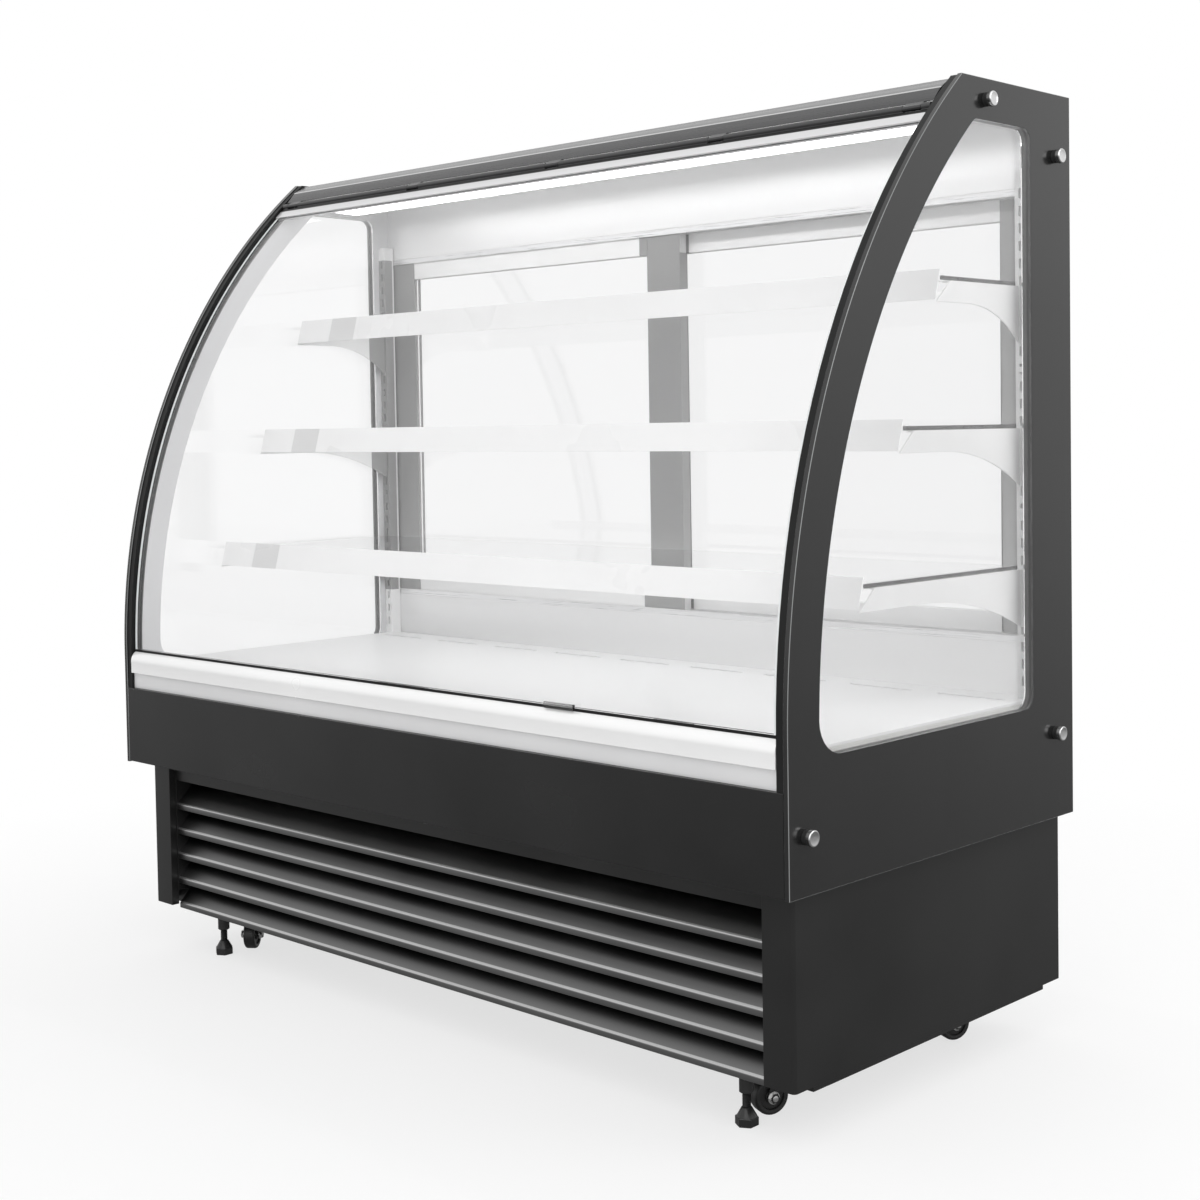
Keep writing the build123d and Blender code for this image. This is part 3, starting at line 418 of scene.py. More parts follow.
shelf_clear = clear("shelf_clear", (0.965, 0.97, 0.97))
door_clear = clear("door_clear", grey(0.93, 0.002), 0.01)
smoked = clear("smoked_plastic", grey(0.5), 0.1)
lamp_glow = glowing("lamp_glow", 4.0)

# Light inner face of the end cores
recolour(core_black, [CORE_INNER_FACE], grey(0.62, 0.01))

# Doors: stiles painted lighter downwards as painted light, and light rails between them
recolour(door_coat, [STILE_FOOT_LIGHT], grey(0.36), STILE_LIGHT_FADE)
for door_rail in (DOOR_LOWER_RAIL, DOOR_UPPER_RAIL):
    recolour(door_coat, [door_rail, BETWEEN_STILES], grey(0.86))

# Grey patch at the left end of the ticket strips, and grey face of the left upright beside the door
recolour(white_strip, [STRIP_LEFT_END], grey(0.7))
recolour(white_coat, LEFT_UPRIGHT, grey(0.27))

# Painted highlights on the crown and the ridge of the rail; dark root of the hinge leaf, and a painted shadow
# along the gap line at its foot
recolour(rail_metal, [RAIL_CROWN_HIGHLIGHT], grey(0.24, 0.002))
recolour(rail_metal, [RAIL_RIDGE_HIGHLIGHT], grey(0.6))
recolour(leaf_metal, [HINGE_LEAF_ROOT], grey(0.085, 0.001))
recolour(leaf_metal, [HINGE_GAP_SHADOW], grey(0.002))

# Blades: painted shade on the rear of the sloping part, and a painted highlight on the fold
recolour(blade_coat, [BLADE_BACK_SHADE], grey(0.006), BLADE_SHADE_FADE)
recolour(blade_coat, [BLADE_FOLD_HIGHLIGHT], grey(0.5))

FINISHES = {
    core_black: ["end_cores"],
    black_coat: ["plinth_cover_left", "plinth_cover_right", "plinth_back_cover", "grille_frame",
                 "base_frame"],
    black_sheet: ["fascia", "roof_panel"],
    blade_coat: ["grille_blades"],
    smoked: ["glass_grip"],
    moulded: ["glass_stops", "control_box", "light_switch", "brake_pedal_FR", "brake_pedal_FL",
              "condenser_fan_shroud", "condenser_fan_rotor", "evaporator_fan_rotor"],
    seal_skin: ["glass_seals"],
    white_coat: ["uprights", "shelf_brackets"],
    white_strip: ["ticket_strips"],
    deck_coat: ["deck"],
    door_coat: ["door_frame_left", "door_frame_right"],
    foam_skin: ["tub_insulation"],
    zinc_plate: ["unit_tray", "caster_plates"],
    tread: ["caster_wheel_FR", "caster_wheel_FL", "caster_wheel_RR", "caster_wheel_RL"],
    dark_zinc: ["caster_fork_FR", "caster_fork_FL", "caster_fork_RR", "caster_fork_RL",
                "levelling_foot_right", "levelling_foot_left"],
    can_black: ["compressor"],
    nose_white: ["bullnose"],
    trim_grey: ["front_trim"],
    satin_x: ["lamp_housing", "door_tracks"],
    leaf_metal: ["glass_hinge_leaf"],
    steel_x: ["ceiling_panel", "rear_header", "tub_lining", "back_panel"],
    rail_metal: ["top_rail"],
    fin_metal: ["condenser_coil", "evaporator_coil"],
    polished: ["standoff_buttons"],
    front_clear: ["front_glass"],
    pane_clear: ["end_inner_panes", "end_glass_left", "end_glass_right"],
    shelf_clear: ["shelf_glass"],
    door_clear: ["door_glass_left", "door_glass_right"],
    lamp_glow: ["lamp_tube"],
}


def dress(piece, material):
    """One material for a whole piece."""
    piece.data.materials.clear()
    piece.data.materials.append(material)
    return piece


for material, names in FINISHES.items():
    for name in names:
        dress(nodes[name], material)


# Mesh builders

def to_mesh(name, points, faces, sharp=40.0):
    """Mesh object from points and faces, turned outwards, smooth but for sharp edges."""
    mesh = bpy.data.meshes.new(name)
    mesh.from_pydata(np.asarray(points, float).tolist(), [], faces)
    mesh.validate()
    mesh.polygons.foreach_set("use_smooth", [True] * len(mesh.polygons))
    mesh.update()
    volume = sum(p.center.dot(p.normal) * p.area for p in mesh.polygons)
    if volume < 0:
        mesh.flip_normals()
    mesh.set_sharp_from_angle(angle=math.radians(sharp))
    piece = bpy.data.objects.new(name, mesh)
    bpy.context.scene.collection.objects.link(piece)
    return piece


def grid_faces(rows, columns, wrap_rows, wrap_columns):
    """Quads of a grid of points, row by row, that may close on itself either way."""
    r = np.arange(rows if wrap_rows else rows - 1)
    c = np.arange(columns if wrap_columns else columns - 1)
    r, c = np.meshgrid(r, c, indexing="ij")
    below = (r + 1) % rows
    right = (c + 1) % columns
    quads = np.stack([r * columns + c, r * columns + right, below * columns + right, below * columns + c], -1)
    return quads.reshape(-1, 4).tolist()


def end_outline(inset, bottom, top, rear, front):
    """Side outline (Y, Z): upright front, long arc, flat top, straight back; an inset moves it in."""
    radius = ARC_RADIUS - inset
    crown = math.asin((top - inset - ARC_START) / radius)
    angle = np.linspace(0, crown, END_STATIONS)
    arc = np.stack([front + ARC_RADIUS - radius * np.cos(angle), ARC_START + radius * np.sin(angle)], -1)
    corners = [(rear - inset, top - inset), (rear - inset, bottom + inset), (front + inset, bottom + inset)]
    return np.vstack([arc, corners])


def arc(centre, radius, first, last, count):
    """Round stretch: centre + radius (cos t, sin t), at count values of t from first to last, in degrees."""
    turn = np.radians(np.linspace(first, last, count))
    return np.array(centre) + radius * np.column_stack([np.cos(turn), np.sin(turn)])


def round_corner(before, corner, after, radius, count=8):
    """Points of a fillet at a corner between two nearly straight sides."""
    before, corner, after = (np.array(p, float) for p in (before, corner, after))
    a = (before - corner) / np.linalg.norm(before - corner)
    b = (after - corner) / np.linalg.norm(after - corner)
    half = math.acos(np.clip(a @ b, -1, 1)) / 2
    centre = corner + (a + b) / np.linalg.norm(a + b) * radius / math.sin(half)
    start = corner + a * radius / math.tan(half)
    stop = corner + b * radius / math.tan(half)
    turn = math.pi - 2 * half
    t = np.linspace(0, 1, count)[:, None]
    arc = np.sin((1 - t) * turn) * (start - centre) + np.sin(t * turn) * (stop - centre)
    return centre + arc / math.sin(turn)


def window_outline(shrink, front):
    """Window outline (Y, Z): concentric with the front arc, with its four corners rounded."""
    radius = ARC_RADIUS - WINDOW_BORDER - shrink
    bottom = WINDOW_BOTTOM + shrink
    top = WINDOW_TOP - shrink
    rear = WINDOW_REAR - shrink
    first, last = (math.asin((z - ARC_START) / radius) for z in (bottom, top))
    angle = np.linspace(first, last, WINDOW_STATIONS)
    arc = np.stack([front + ARC_RADIUS - radius * np.cos(angle), ARC_START + radius * np.sin(angle)], -1)
    sizes = [c - shrink for c in WINDOW_CORNERS]
    low = round_corner((rear, bottom), arc[0], arc[4], sizes[0])
    high = round_corner(arc[-5], arc[-1], (rear, top), sizes[3])
    keep = (arc[:, 1] > low[-1, 1]) & (arc[:, 1] < high[0, 1])
    back_top = round_corner(arc[-1], (rear, top), (rear, bottom), sizes[2])
    back_low = round_corner((rear, top), (rear, bottom), arc[0], sizes[1])
    return np.vstack([low, arc[keep], high, back_top, back_low])


def on_rays(loop, centre, angles):
    """Points where rays from a centre, at given angles, meet a loop that goes round it."""
    out = []
    start = loop - centre
    stop = np.roll(loop, -1, axis=0) - centre
    for a in angles:
        ray = np.array([math.cos(a), math.sin(a)])
        side0 = start[:, 0] * ray[1] - start[:, 1] * ray[0]
        side1 = stop[:, 0] * ray[1] - stop[:, 1] * ray[0]
        share = side0 / np.where(np.abs(side0 - side1) < 1e-12, 1, side0 - side1)
        hit = start + share[:, None] * (stop - start)
        good = (side0 * side1 <= 0) & (hit @ ray > 0)
        out.append(hit[good][np.argmax(hit[good] @ ray)] + centre)
    return np.array(out)


def own(piece, body, slot, material, *replaced):
    """Finish a new piece: its body, the slot of its finish (not used), its material, the nodes it stands for.
    """
    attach(piece, body)
    dress(piece, material)
    if replaced:
        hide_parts(*replaced)
    return piece


def second_material(piece, material, chosen):
    """Another material on the faces for which chosen(face) holds."""
    piece.data.materials.append(material)
    shown = [1 if chosen(face) else 0 for face in piece.data.polygons]
    piece.data.polygons.foreach_set("material_index", shown)


def tube_faces(rows, count):
    """Faces of a tube of rings: its sides, then its first and last cap."""
    return grid_faces(rows, count, False, True) + [list(range(count))[::-1],
                                                   list(range((rows - 1) * count, rows * count))]


def add(points, faces, more, more_faces):
    """Add points and their faces to growing lists."""
    start = len(points)
    points += np.asarray(more, float).tolist()
    faces += [[i + start for i in face] for face in more_faces]


def run_points(profile, x0, x1):
    """Points of a profile (Y, Z) at x0 and again at x1."""
    return np.vstack([np.column_stack([np.full(len(profile), x), profile]) for x in (x0, x1)])


def prism(name, profile, x0, x1, edge=0.0, sharp=40.0):
    """Profile (Y, Z) carried along X from x0 to x1, both ends closed, edges eased by a bevel."""
    piece = to_mesh(name, run_points(profile, x0, x1), tube_faces(2, len(profile)), sharp)
    if edge:
        ease(piece, edge)
    return piece


def ease(piece, width):
    """Small rounded edges."""
    bevel = piece.modifiers.new("eased_edges", "BEVEL")
    bevel.width = width
    bevel.segments = 2
    bevel.limit_method = "ANGLE"
    bevel.angle_limit = math.radians(35)
    bevel.harden_normals = True


def lathe_points(profile, count, place):
    """Profile (radius, along) in mm turned about +X and moved by a 4x4 matrix: points ring by ring."""
    angle = np.linspace(0, 2 * math.pi, count, endpoint=False)
    profile = np.array(profile, float) * MM
    radius = profile[:, 0][:, None]
    along = np.repeat(profile[:, 1][:, None], count, 1)
    points = np.stack([along, radius * np.cos(angle), radius * np.sin(angle)], -1).reshape(-1, 3)
    place = np.array(place)
    return points @ place[:3, :3].T + place[:3, 3]


def lathe(name, parts):
    """Turned pieces in one mesh; each part is (profile in mm, count round it, place) between flat caps."""
    points, faces = [], []
    for profile, count, place in parts:
        add(points, faces, lathe_points(profile, count, place), tube_faces(len(profile), count))
    return to_mesh(name, points, faces, 30.0)


def facing(axis, place):
    """Matrix that turns +X to an axis and moves the origin to a place."""
    turn = Vector((1, 0, 0)).rotation_difference(Vector(axis)).to_matrix().to_4x4()
    return Matrix.Translation(place) @ turn


# End walls: black-bordered glass as a ring, with the clear window in it

end_low, end_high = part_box("end_glass_right")
FRONT = end_low.y
REAR = end_high.y
EDGE_POLISH = 0.8 * MM
PANE_GAP = 0.15 * MM


def end_wall(side):
    """Ring between the window and the wall's outline, with polished edges whose chamfers are painted lighter
    as a painted highlight, and the window pane.

    Section of the ring, from the window outwards: outer face, small chamfer, edge, chamfer, inner face.
    """
    name = "right" if side > 0 else "left"
    outer, inner = side * end_high.x, side * end_low.x
    edge = end_outline(0, end_low.z, end_high.z, REAR, FRONT)
    edge_in = end_outline(EDGE_POLISH, end_low.z, end_high.z, REAR, FRONT)
    window = window_outline(0, FRONT)
    centre = window.mean(0)
    angles = np.concatenate([np.arctan2(*(loop - centre).T[::-1]) for loop in (edge, edge_in, window)])
    angles = np.unique(np.round(angles, 5))
    loops = [on_rays(loop, centre, angles) for loop in (window, edge_in, edge, edge, edge_in, window)]
    polish = side * EDGE_POLISH
    xs = [outer, outer, outer - polish, inner + polish, inner, inner]
    ring = np.stack([np.column_stack([np.full(len(loop), x), loop]) for loop, x in zip(loops, xs)])
    faces = grid_faces(len(xs), len(angles), True, True)
    border = to_mesh(f"end_border_{name}", ring.reshape(-1, 3), faces, 25.0)
    own(border, "cabinet", "end_glass", black_border, f"end_glass_{name}")
    middle = len(angles)
    # The two chamfers are painted lighter: a painted highlight on the polished edges
    second_material(border, edge_highlight, lambda face: face.index // middle in (1, 3))
    pane = prism(f"end_window_{name}", window_outline(PANE_GAP, FRONT), inner, outer)
    own(pane, "cabinet", "end_glass", pane_clear)
    second_material(pane, black_border, lambda face: abs(face.normal.x) < 0.5)
    pane.visible_shadow = False


for side in (1, -1):
    end_wall(side)

# Curved front glass as one smooth sheet with ground edges

front_low, front_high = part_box("front_glass")
RIM = 7 * MM
GROUND = 0.7 * MM


def front_pane():
    """Sheet between two insets of the front arc, from the sill to the hinge leaf.

    Section round the sheet: outer face with a rim at either end, ground edge, inner face, ground edge.
    Each of its points (x, radius) is turned by every angle a: y - radius cos a, z + radius sin a.
    """
    y, z = FRONT + ARC_RADIUS, ARC_START
    outer = ARC_RADIUS - GLASS_INSET
    inner = outer - GLASS_THICK
    low, high = (math.asin((end.z - z) / outer) for end in (front_low, front_high))
    x0, x1 = front_low.x, front_high.x
    section = [(x0 + GROUND, outer), (x0 + RIM, outer), (x1 - RIM, outer), (x1 - GROUND, outer),
               (x1, outer - GROUND), (x1, inner + GROUND), (x1 - GROUND, inner), (x0 + GROUND, inner),
               (x0, inner + GROUND), (x0, outer - GROUND)]
    x, radius = np.array(section).T
    a = np.linspace(low, high, SHEET_STATIONS)[:, None]
    grid = np.broadcast_arrays(x, y - radius * np.cos(a), z + radius * np.sin(a))
    points = np.stack(grid, -1).reshape(-1, 3)
    return to_mesh("front_sheet", points, tube_faces(SHEET_STATIONS, len(section)), 20.0)


sheet = own(front_pane(), "front_glass", "clear_glass", front_clear, "front_glass")
sheet.visible_shadow = False
second_material(sheet, ground_edge, lambda face: abs(face.center.x) > front_high.x - RIM)
for name in ("end_inner_panes", "shelf_glass", "door_glass_left", "door_glass_right"):
    nodes[name].visible_shadow = False

# Stand-off buttons: chrome cap with a rounded rim over a black collar; sizes in mm

button_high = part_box("standoff_buttons")[1]
BUTTON_PLACES = ((113, 1353), (291, 1293), (285, 461), (-300, 411))
CAP_RADIUS = 10.5
CAP_START = 6.5
CAP_RIM = 1.6
CAP_EDGE = 0.8
COLLAR_RADIUS = 9.6
BUTTON_SIDES = 48


def buttons():
    """Turned buttons, eight in one piece: collar, groove, cap with a rounded rim and a dished face."""
    reach = (button_high.x - end_high.x) / MM
    collar = [(COLLAR_RADIUS, 0), (COLLAR_RADIUS, CAP_START - 0.6), (COLLAR_RADIUS - 0.5, CAP_START),
              (CAP_RADIUS - CAP_EDGE, CAP_START), (CAP_RADIUS, CAP_START + CAP_EDGE)]
    rim = arc((CAP_RADIUS - CAP_RIM, reach - CAP_RIM), CAP_RIM, 0, 90, 7)
    face = [(CAP_RADIUS - 2.4, reach - 0.25), (2, reach - 0.35)]
    profile = np.vstack([collar, rim, face])
    places = [facing((side, 0, 0), (side * end_high.x, y * MM, z * MM))
              for side in (1, -1) for y, z in BUTTON_PLACES]
    return lathe("standoff_caps", [(profile, BUTTON_SIDES, place) for place in places])


caps = own(buttons(), "cabinet", "chrome", polished, "standoff_buttons")
second_material(caps, moulded, lambda face: abs(face.center.x) < end_high.x + (CAP_START - 0.1) * MM)

# Copies of the sheet and block pieces with their edges eased: width of the bevel in mm, and slot

MERGE_GAP = 0.02 * MM
FLAT_ANGLE = math.radians(1)
SHARP_ANGLE = math.radians(30)
SOFTENED = {
    "fascia": (1.0, "black_fascia"), "front_trim": (0.6, "satin_aluminium"),
    "plinth_cover_left": (0.5, "black_paint"), "plinth_cover_right": (0.5, "black_paint"),
    "plinth_back_cover": (0.4, "black_paint"), "grille_frame": (0.4, "black_paint"),
    "base_frame": (1.5, "black_paint"), "roof_panel": (1.0, "dark_sheet"),
    "rear_header": (0.8, "brushed_steel"), "ceiling_panel": (0.5, "brushed_steel"),
    "tub_lining": (0.4, "brushed_steel"), "deck": (0.6, "white_deck"),
    "door_frame_left": (1.2, "door_grey"), "door_frame_right": (1.2, "door_grey"),
    "uprights": (0.4, "white_paint"), "shelf_brackets": (0.4, "white_paint"),
    "ticket_strips": (0.3, "white_plastic"), "shelf_glass": (0.5, "clear_glass"),
    "glass_hinge_leaf": (0.4, "satin_aluminium"), "glass_grip": (0.8, "black_plastic"),
    "lamp_housing": (0.8, "satin_aluminium"), "unit_tray": (0.4, "zinc"), "caster_plates": (0.5, "zinc"),
    "control_box": (1.5, "black_plastic"), "light_switch": (0.6, "black_plastic"),
    "brake_pedal_FR": (0.5, "black_plastic"), "brake_pedal_FL": (0.5, "black_plastic"),
    "caster_fork_FR": (0.4, "black_zinc"), "caster_fork_FL": (0.4, "black_zinc"),
    "caster_fork_RR": (0.4, "black_zinc"), "caster_fork_RL": (0.4, "black_zinc"),
}


def softened(name, width):
    """Copy of a CAD node with its loose triangles merged, flat faces joined and edges eased."""
    source = nodes[name]
    mesh = source.data.copy()
    mesh.transform(source.matrix_world)
    form = bmesh.new()
    form.from_mesh(mesh)
    bmesh.ops.remove_doubles(form, verts=form.verts, dist=MERGE_GAP)
    bmesh.ops.dissolve_limit(form, angle_limit=FLAT_ANGLE, verts=form.verts, edges=form.edges)
    form.to_mesh(mesh)
    form.free()
    mesh.polygons.foreach_set("use_smooth", [True] * len(mesh.polygons))
    mesh.set_sharp_from_angle(angle=SHARP_ANGLE)
    piece = bpy.data.objects.new(f"soft_{name}", mesh)
    bpy.context.scene.collection.objects.link(piece)
    ease(piece, width * MM)
    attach(piece, body_of(source)[0])
    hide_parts(name)
    piece.visible_shadow = source.visible_shadow
    return piece


for name, (width, slot) in SOFTENED.items():
    softened(name, width)

# Top front rail with two facets, and the hinge lugs and pin under it; sizes in mm

RAIL = [(19.75, 1344), (37.28, 1364.5), (60.28, 1378), (74.28, 1378), (74.28, 1344)]
RAIL_HALF = 727.5 * MM
HINGE = (15.275, 1337.0)
KNUCKLE_RADIUS = 5
PIN_RADIUS = 2.5
PIN_HALF = 728
PIN_SIDES = 24
LUG_PLACES = (-698, -349, 0, 349, 698)
LUG_HALF = 15
LUG_ROOT = [(27.5, 1344.9), (20.5, 1344.9)]


def rail():
    """Rail profile along X, with its ridge and lips eased."""
    return prism("front_rail", np.array(RAIL) * MM, -RAIL_HALF, RAIL_HALF, 0.9 * MM)


def hinge_lugs():
    """Five lugs, each a tapered root ending in a round knuckle, and the pin through them."""
    y, z = HINGE
    profile = np.vstack([arc(HINGE, KNUCKLE_RADIUS, 155, 395, 15), LUG_ROOT]) * MM
    points, faces = [], []
    for x in LUG_PLACES:
        add(points, faces, run_points(profile, (x - LUG_HALF) * MM, (x + LUG_HALF) * MM),
            tube_faces(2, len(profile)))
    pin = lathe_points([(PIN_RADIUS, -PIN_HALF), (PIN_RADIUS, PIN_HALF)], PIN_SIDES,
                       Matrix.Translation((0, y * MM, z * MM)))
    add(points, faces, pin, tube_faces(2, PIN_SIDES))
    return to_mesh("hinge_lugs", points, faces, 30.0)


own(rail(), "cabinet", "satin_aluminium", rail_metal, "top_rail")
own(hinge_lugs(), "cabinet", "satin_aluminium", rail_metal)

# Louvre blades with a rolled front edge; sizes in mm

BLADE_Y = -282.5
BLADE_LOW = 86.5
BLADE_PITCH = 43.8
BLADE_COUNT = 5
BLADE_HALF = 673.2 * MM
LIP_HEIGHT = 9
LIP_THICK = 2
FOLD_RADIUS = 4.0
LIP_RADIUS = 0.8
BLADE_RUN = (38, 39)
BLADE_WALL = (2, -1)


def blades():
    """Five blades: an upright lip, a rolled fold, and a leaf rising backwards at 45 degrees."""
    points, faces = [], []
    for n in range(BLADE_COUNT):
        corner = np.array([BLADE_Y, BLADE_LOW + BLADE_PITCH * n])
        top = corner + BLADE_RUN
        lip = corner - (0, LIP_HEIGHT)
        lip_back = lip + (LIP_THICK, 0)
        foot = round_corner(lip_back, lip, corner, LIP_RADIUS, 4)
        fold = round_corner(lip, corner, top, FOLD_RADIUS, 9)
        profile = np.vstack([foot, fold, top, top + BLADE_WALL, corner + BLADE_WALL, lip_back]) * MM
        add(points, faces, run_points(profile, -BLADE_HALF, BLADE_HALF), tube_faces(2, len(profile)))
    return to_mesh("louvre_blades", points, faces, 30.0)


own(blades(), "cabinet", "black_paint", blade_coat, "grille_blades")

# Bullnose over the flat trim; sizes in mm

NOSE_HALF = 729.5 * MM
NOSE_RADIUS = 20.0
NOSE_LOW = (-333.2, 512.5)
NOSE_TOP = (-324.2, 532.5)
NOSE_BACK = -310.2
NOSE_FOOT = 495.5


def bullnose():
    """Rounded nose: upright front, a quarter round over it, a flat top and an undercut back."""
    low, top = np.array(NOSE_LOW), np.array(NOSE_TOP)
    half = np.linalg.norm(top - low) / 2
    along = (top - low) / (2 * half)
    away = math.sqrt(NOSE_RADIUS**2 - half**2)
    centre = (low + top) / 2 + away * np.array([along[1], -along[0]])
    first, last = (math.degrees(math.atan2(z - centre[1], y - centre[0])) for y, z in (low, top))
    if last > first:
        last -= 360
    if first - last > 180:
        first -= 360
    front = arc(centre, NOSE_RADIUS, first, last, 15)
    back = [(NOSE_BACK, NOSE_TOP[1]), (NOSE_BACK, NOSE_FOOT), (NOSE_LOW[0], NOSE_FOOT)]
    return prism("front_bullnose", np.vstack([front, back]) * MM, -NOSE_HALF, NOSE_HALF, 0.8 * MM, 30.0)


own(bullnose(), "cabinet", "satin_aluminium", nose_white, "bullnose")

# Casters: turned wheels and bright axle nuts; places and profiles in mm

CASTERS = {"FR": (606, -170, -113), "FL": (-606, -170, -52), "RR": (606, 190, 66), "RL": (-606, 190, 108)}
TRAIL = 24 * MM
WHEEL_RADIUS = 25 * MM
WHEEL_HALF = [(4.1, 10), (8.5, 10), (9, 9.6), (9.5, 7.4), (16.5, 7.2), (17.2, 8.8), (17.6, 9.7), (20.6, 9.9)]
WHEEL_TREAD = (25.0, 2.0)
SHOULDER_CENTRE = (21, 6)
SHOULDER_RADIUS = 4
WHEEL_SIDES = 64
HEXAGON = 6
NUT_PARTS = [([(8.6, 13.9), (8.6, 14.6)], 32), ([(7.35, 14.6), (7.35, 18.0), (6.5, 18.95)], HEXAGON),
             ([(4.0, 18.9), (4.0, 19.4), (3.4, 19.6)], 24)]


def axle(name):
    """Middle of a wheel and the direction of its axle."""
    x, y, heading = CASTERS[name]
    turn = math.radians(heading)
    ahead = Vector((math.cos(turn), math.sin(turn), 0))
    return Vector((x * MM, y * MM, WHEEL_RADIUS)) + ahead * TRAIL, Vector((-ahead.y, ahead.x, 0))


def wheel(name):
    """Turned wheel: boss, dished web, rim step and a tyre with rounded shoulders, closed on the axle."""
    middle, axis = axle(name)
    half = np.vstack([WHEEL_HALF, arc(SHOULDER_CENTRE, SHOULDER_RADIUS, 90, 0, 8), WHEEL_TREAD])
    profile = np.vstack([half * (1, -1), half[::-1]])
    return lathe(f"tyre_{name}", [(profile, WHEEL_SIDES, facing(axis, middle))])


def nuts(name):
    """Two hexagonal nuts with chamfered corners on turned washers, outside the fork."""
    middle, axis = axle(name)
    return lathe(f"axle_nuts_{name}", [(profile, count, facing(axis * side, middle))
                                       for side in (1, -1) for profile, count in NUT_PARTS])


for name in CASTERS:
    own(wheel(name), f"wheel_{name}", "caster_rubber", tread, f"caster_wheel_{name}")
    own(nuts(name), f"fork_{name}", "zinc", bright_nut)

# Levelling feet: threaded stem on a cone and a hexagonal pad, with a guide sleeve under the tube; in mm

FOOT_PLACES = {"right": (600, -242), "left": (-600, -242)}
PAD = [(14.6, 0), (15.9, 0.9), (15.9, 11.0), (15.2, 12)]
CONE = [(13.8, 11.9), (13.6, 12.6), (7.4, 23.4), (6.6, 24.2)]
THREAD_CORE = 5.2
THREAD_DEPTH = 0.75
THREAD_START = 25
THREAD_PITCH = 1.75
THREAD_STEPS = 85
SLEEVE = [(8.6, 43.5), (9.8, 44.5), (9.8, 66), (12.6, 67), (12.6, 76.9)]
STEM_SIDES = 32


def stem():
    """Cone, then a thread: the radius goes from core to crest and back at every half pitch."""
    step = np.arange(THREAD_STEPS)
    radius = THREAD_CORE + THREAD_DEPTH * (step % 2)
    height = THREAD_START + THREAD_PITCH / 2 * step
    return np.vstack([CONE, np.column_stack([radius, height])])


foot_stands = {side: facing((0, 0, 1), (x * MM, y * MM, 0)) for side, (x, y) in FOOT_PLACES.items()}
for side, stand in foot_stands.items():
    foot = lathe(f"threaded_foot_{side}", [(PAD, HEXAGON, stand), (stem(), STEM_SIDES, stand)])
    own(foot, f"foot_{side}", "black_zinc", dark_zinc, f"levelling_foot_{side}")
guides = lathe("foot_guides", [(SLEEVE, STEM_SIDES, stand) for stand in foot_stands.values()])
own(guides, "cabinet", "black_plastic", moulded)

# Light, floor and camera

def backdrop():
    """World: white to the camera and through glass; a soft gradient, darker below, for the light."""
    world = bpy.data.worlds.new("studio")
    bpy.context.scene.world = world
    world.use_nodes = True
    tree = world.node_tree
    shown = tree.nodes["Background"]
    shown.inputs["Color"].default_value = (1, 1, 1, 1)
    light = tree.nodes.new("ShaderNodeBackground")
    coordinates = tree.nodes.new("ShaderNodeTexCoord")
    split = tree.nodes.new("ShaderNodeSeparateXYZ")
    tree.links.new(coordinates.outputs["Generated"], split.inputs["Vector"])
    light.inputs["Color"].default_value = (1, 1, 1, 1)
    path = tree.nodes.new("ShaderNodeLightPath")
    plain = spread(tree, split.outputs["Z"], *PLAIN_LIGHT)
    mirrored = spread(tree, split.outputs["Z"], *GLOSSY_LIGHT)
    change = maths(tree, "MULTIPLY", maths(tree, "SUBTRACT", mirrored, plain), path.outputs["Is Glossy Ray"])
    tree.links.new(maths(tree, "ADD", plain, change), light.inputs["Strength"])
    direct = maths(tree, "MAXIMUM", path.outputs["Is Camera Ray"], path.outputs["Is Transmission Ray"])
    mix = tree.nodes.new("ShaderNodeMixShader")
    tree.links.new(direct, mix.inputs["Fac"])
    tree.links.new(light.outputs["Background"], mix.inputs[1])
    tree.links.new(shown.outputs["Background"], mix.inputs[2])
    tree.links.new(mix.outputs["Shader"], tree.nodes["World Output"].inputs["Surface"])


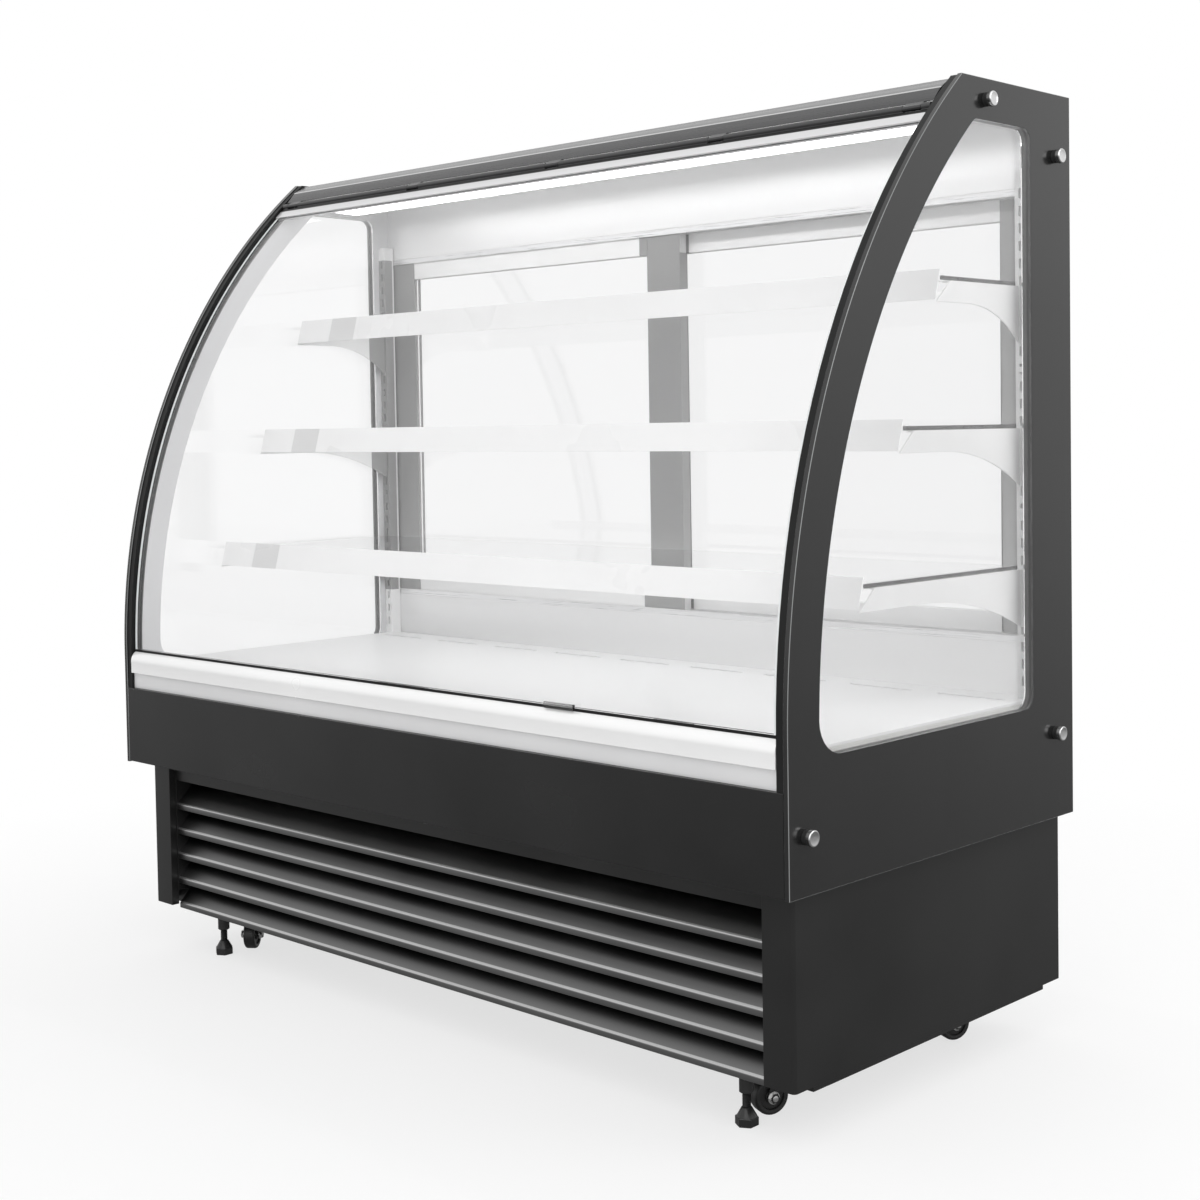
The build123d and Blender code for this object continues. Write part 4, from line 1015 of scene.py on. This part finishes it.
def studio_floor():
    """Pale floor that keeps the object's shadow near it and turns plain white further off."""
    half = FLOOR_HALF
    points = [(x, y, z) for x in (-half, half) for y in (-half, half) for z in (-FLOOR_THICK, 0.0)]
    faces = [(0, 1, 3, 2), (4, 6, 7, 5), (0, 4, 5, 1), (2, 3, 7, 6), (0, 2, 6, 4), (1, 5, 7, 3)]
    floor = to_mesh("studio_floor", points, faces)
    material, tree, shader, vector = start("floor_paint")
    shader.inputs["Base Color"].default_value = (*grey(FLOOR_PAINT), 1)
    shader.inputs["Roughness"].default_value = 0.6
    shader.inputs["Specular IOR Level"].default_value = 0.1
    length = tree.nodes.new("ShaderNodeVectorMath")
    length.operation = "LENGTH"
    tree.links.new(vector, length.inputs[0])
    white = tree.nodes.new("ShaderNodeEmission")
    mix = tree.nodes.new("ShaderNodeMixShader")
    path = tree.nodes.new("ShaderNodeLightPath")
    direct = maths(tree, "MAXIMUM", path.outputs["Is Camera Ray"], path.outputs["Is Transmission Ray"])
    far = spread(tree, length.outputs["Value"], *FLOOR_FADE)
    tree.links.new(maths(tree, "MULTIPLY", far, direct), mix.inputs["Fac"])
    tree.links.new(shader.outputs["BSDF"], mix.inputs[1])
    tree.links.new(white.outputs["Emission"], mix.inputs[2])
    tree.links.new(mix.outputs["Shader"], tree.nodes["Material Output"].inputs["Surface"])
    dress(floor, material)
    floor.visible_glossy = False


def softbox(name, place, target, size, power):
    """Square area lamp turned towards a point."""
    data = bpy.data.lights.new(name, "AREA")
    data.shape = "RECTANGLE"
    data.size, data.size_y = size
    data.energy = power
    lamp = bpy.data.objects.new(name, data)
    bpy.context.scene.collection.objects.link(lamp)
    lamp.location = place
    lamp.rotation_euler = (Vector(target) - Vector(place)).to_track_quat("-Z", "Y").to_euler()


def camera():
    """Camera at the photograph's place."""
    data = bpy.data.cameras.new("photograph")
    data.lens = CAMERA_LENS
    data.sensor_width = 36
    data.shift_x, data.shift_y = CAMERA_SHIFT
    data.clip_end = 200
    eye = bpy.data.objects.new("photograph", data)
    bpy.context.scene.collection.objects.link(eye)
    turn = (Matrix.Rotation(math.radians(CAMERA_TURN), 4, "Z")
            @ Matrix.Rotation(math.radians(90 - CAMERA_TILT), 4, "X")
            @ Matrix.Rotation(math.radians(CAMERA_ROLL), 4, "Z"))
    eye.matrix_world = Matrix.Translation(CAMERA_PLACE) @ turn
    bpy.context.scene.camera = eye


backdrop()
studio_floor()
for lamp in LAMPS:
    softbox(*lamp)
camera()
bpy.context.scene.view_settings.view_transform = "Standard"
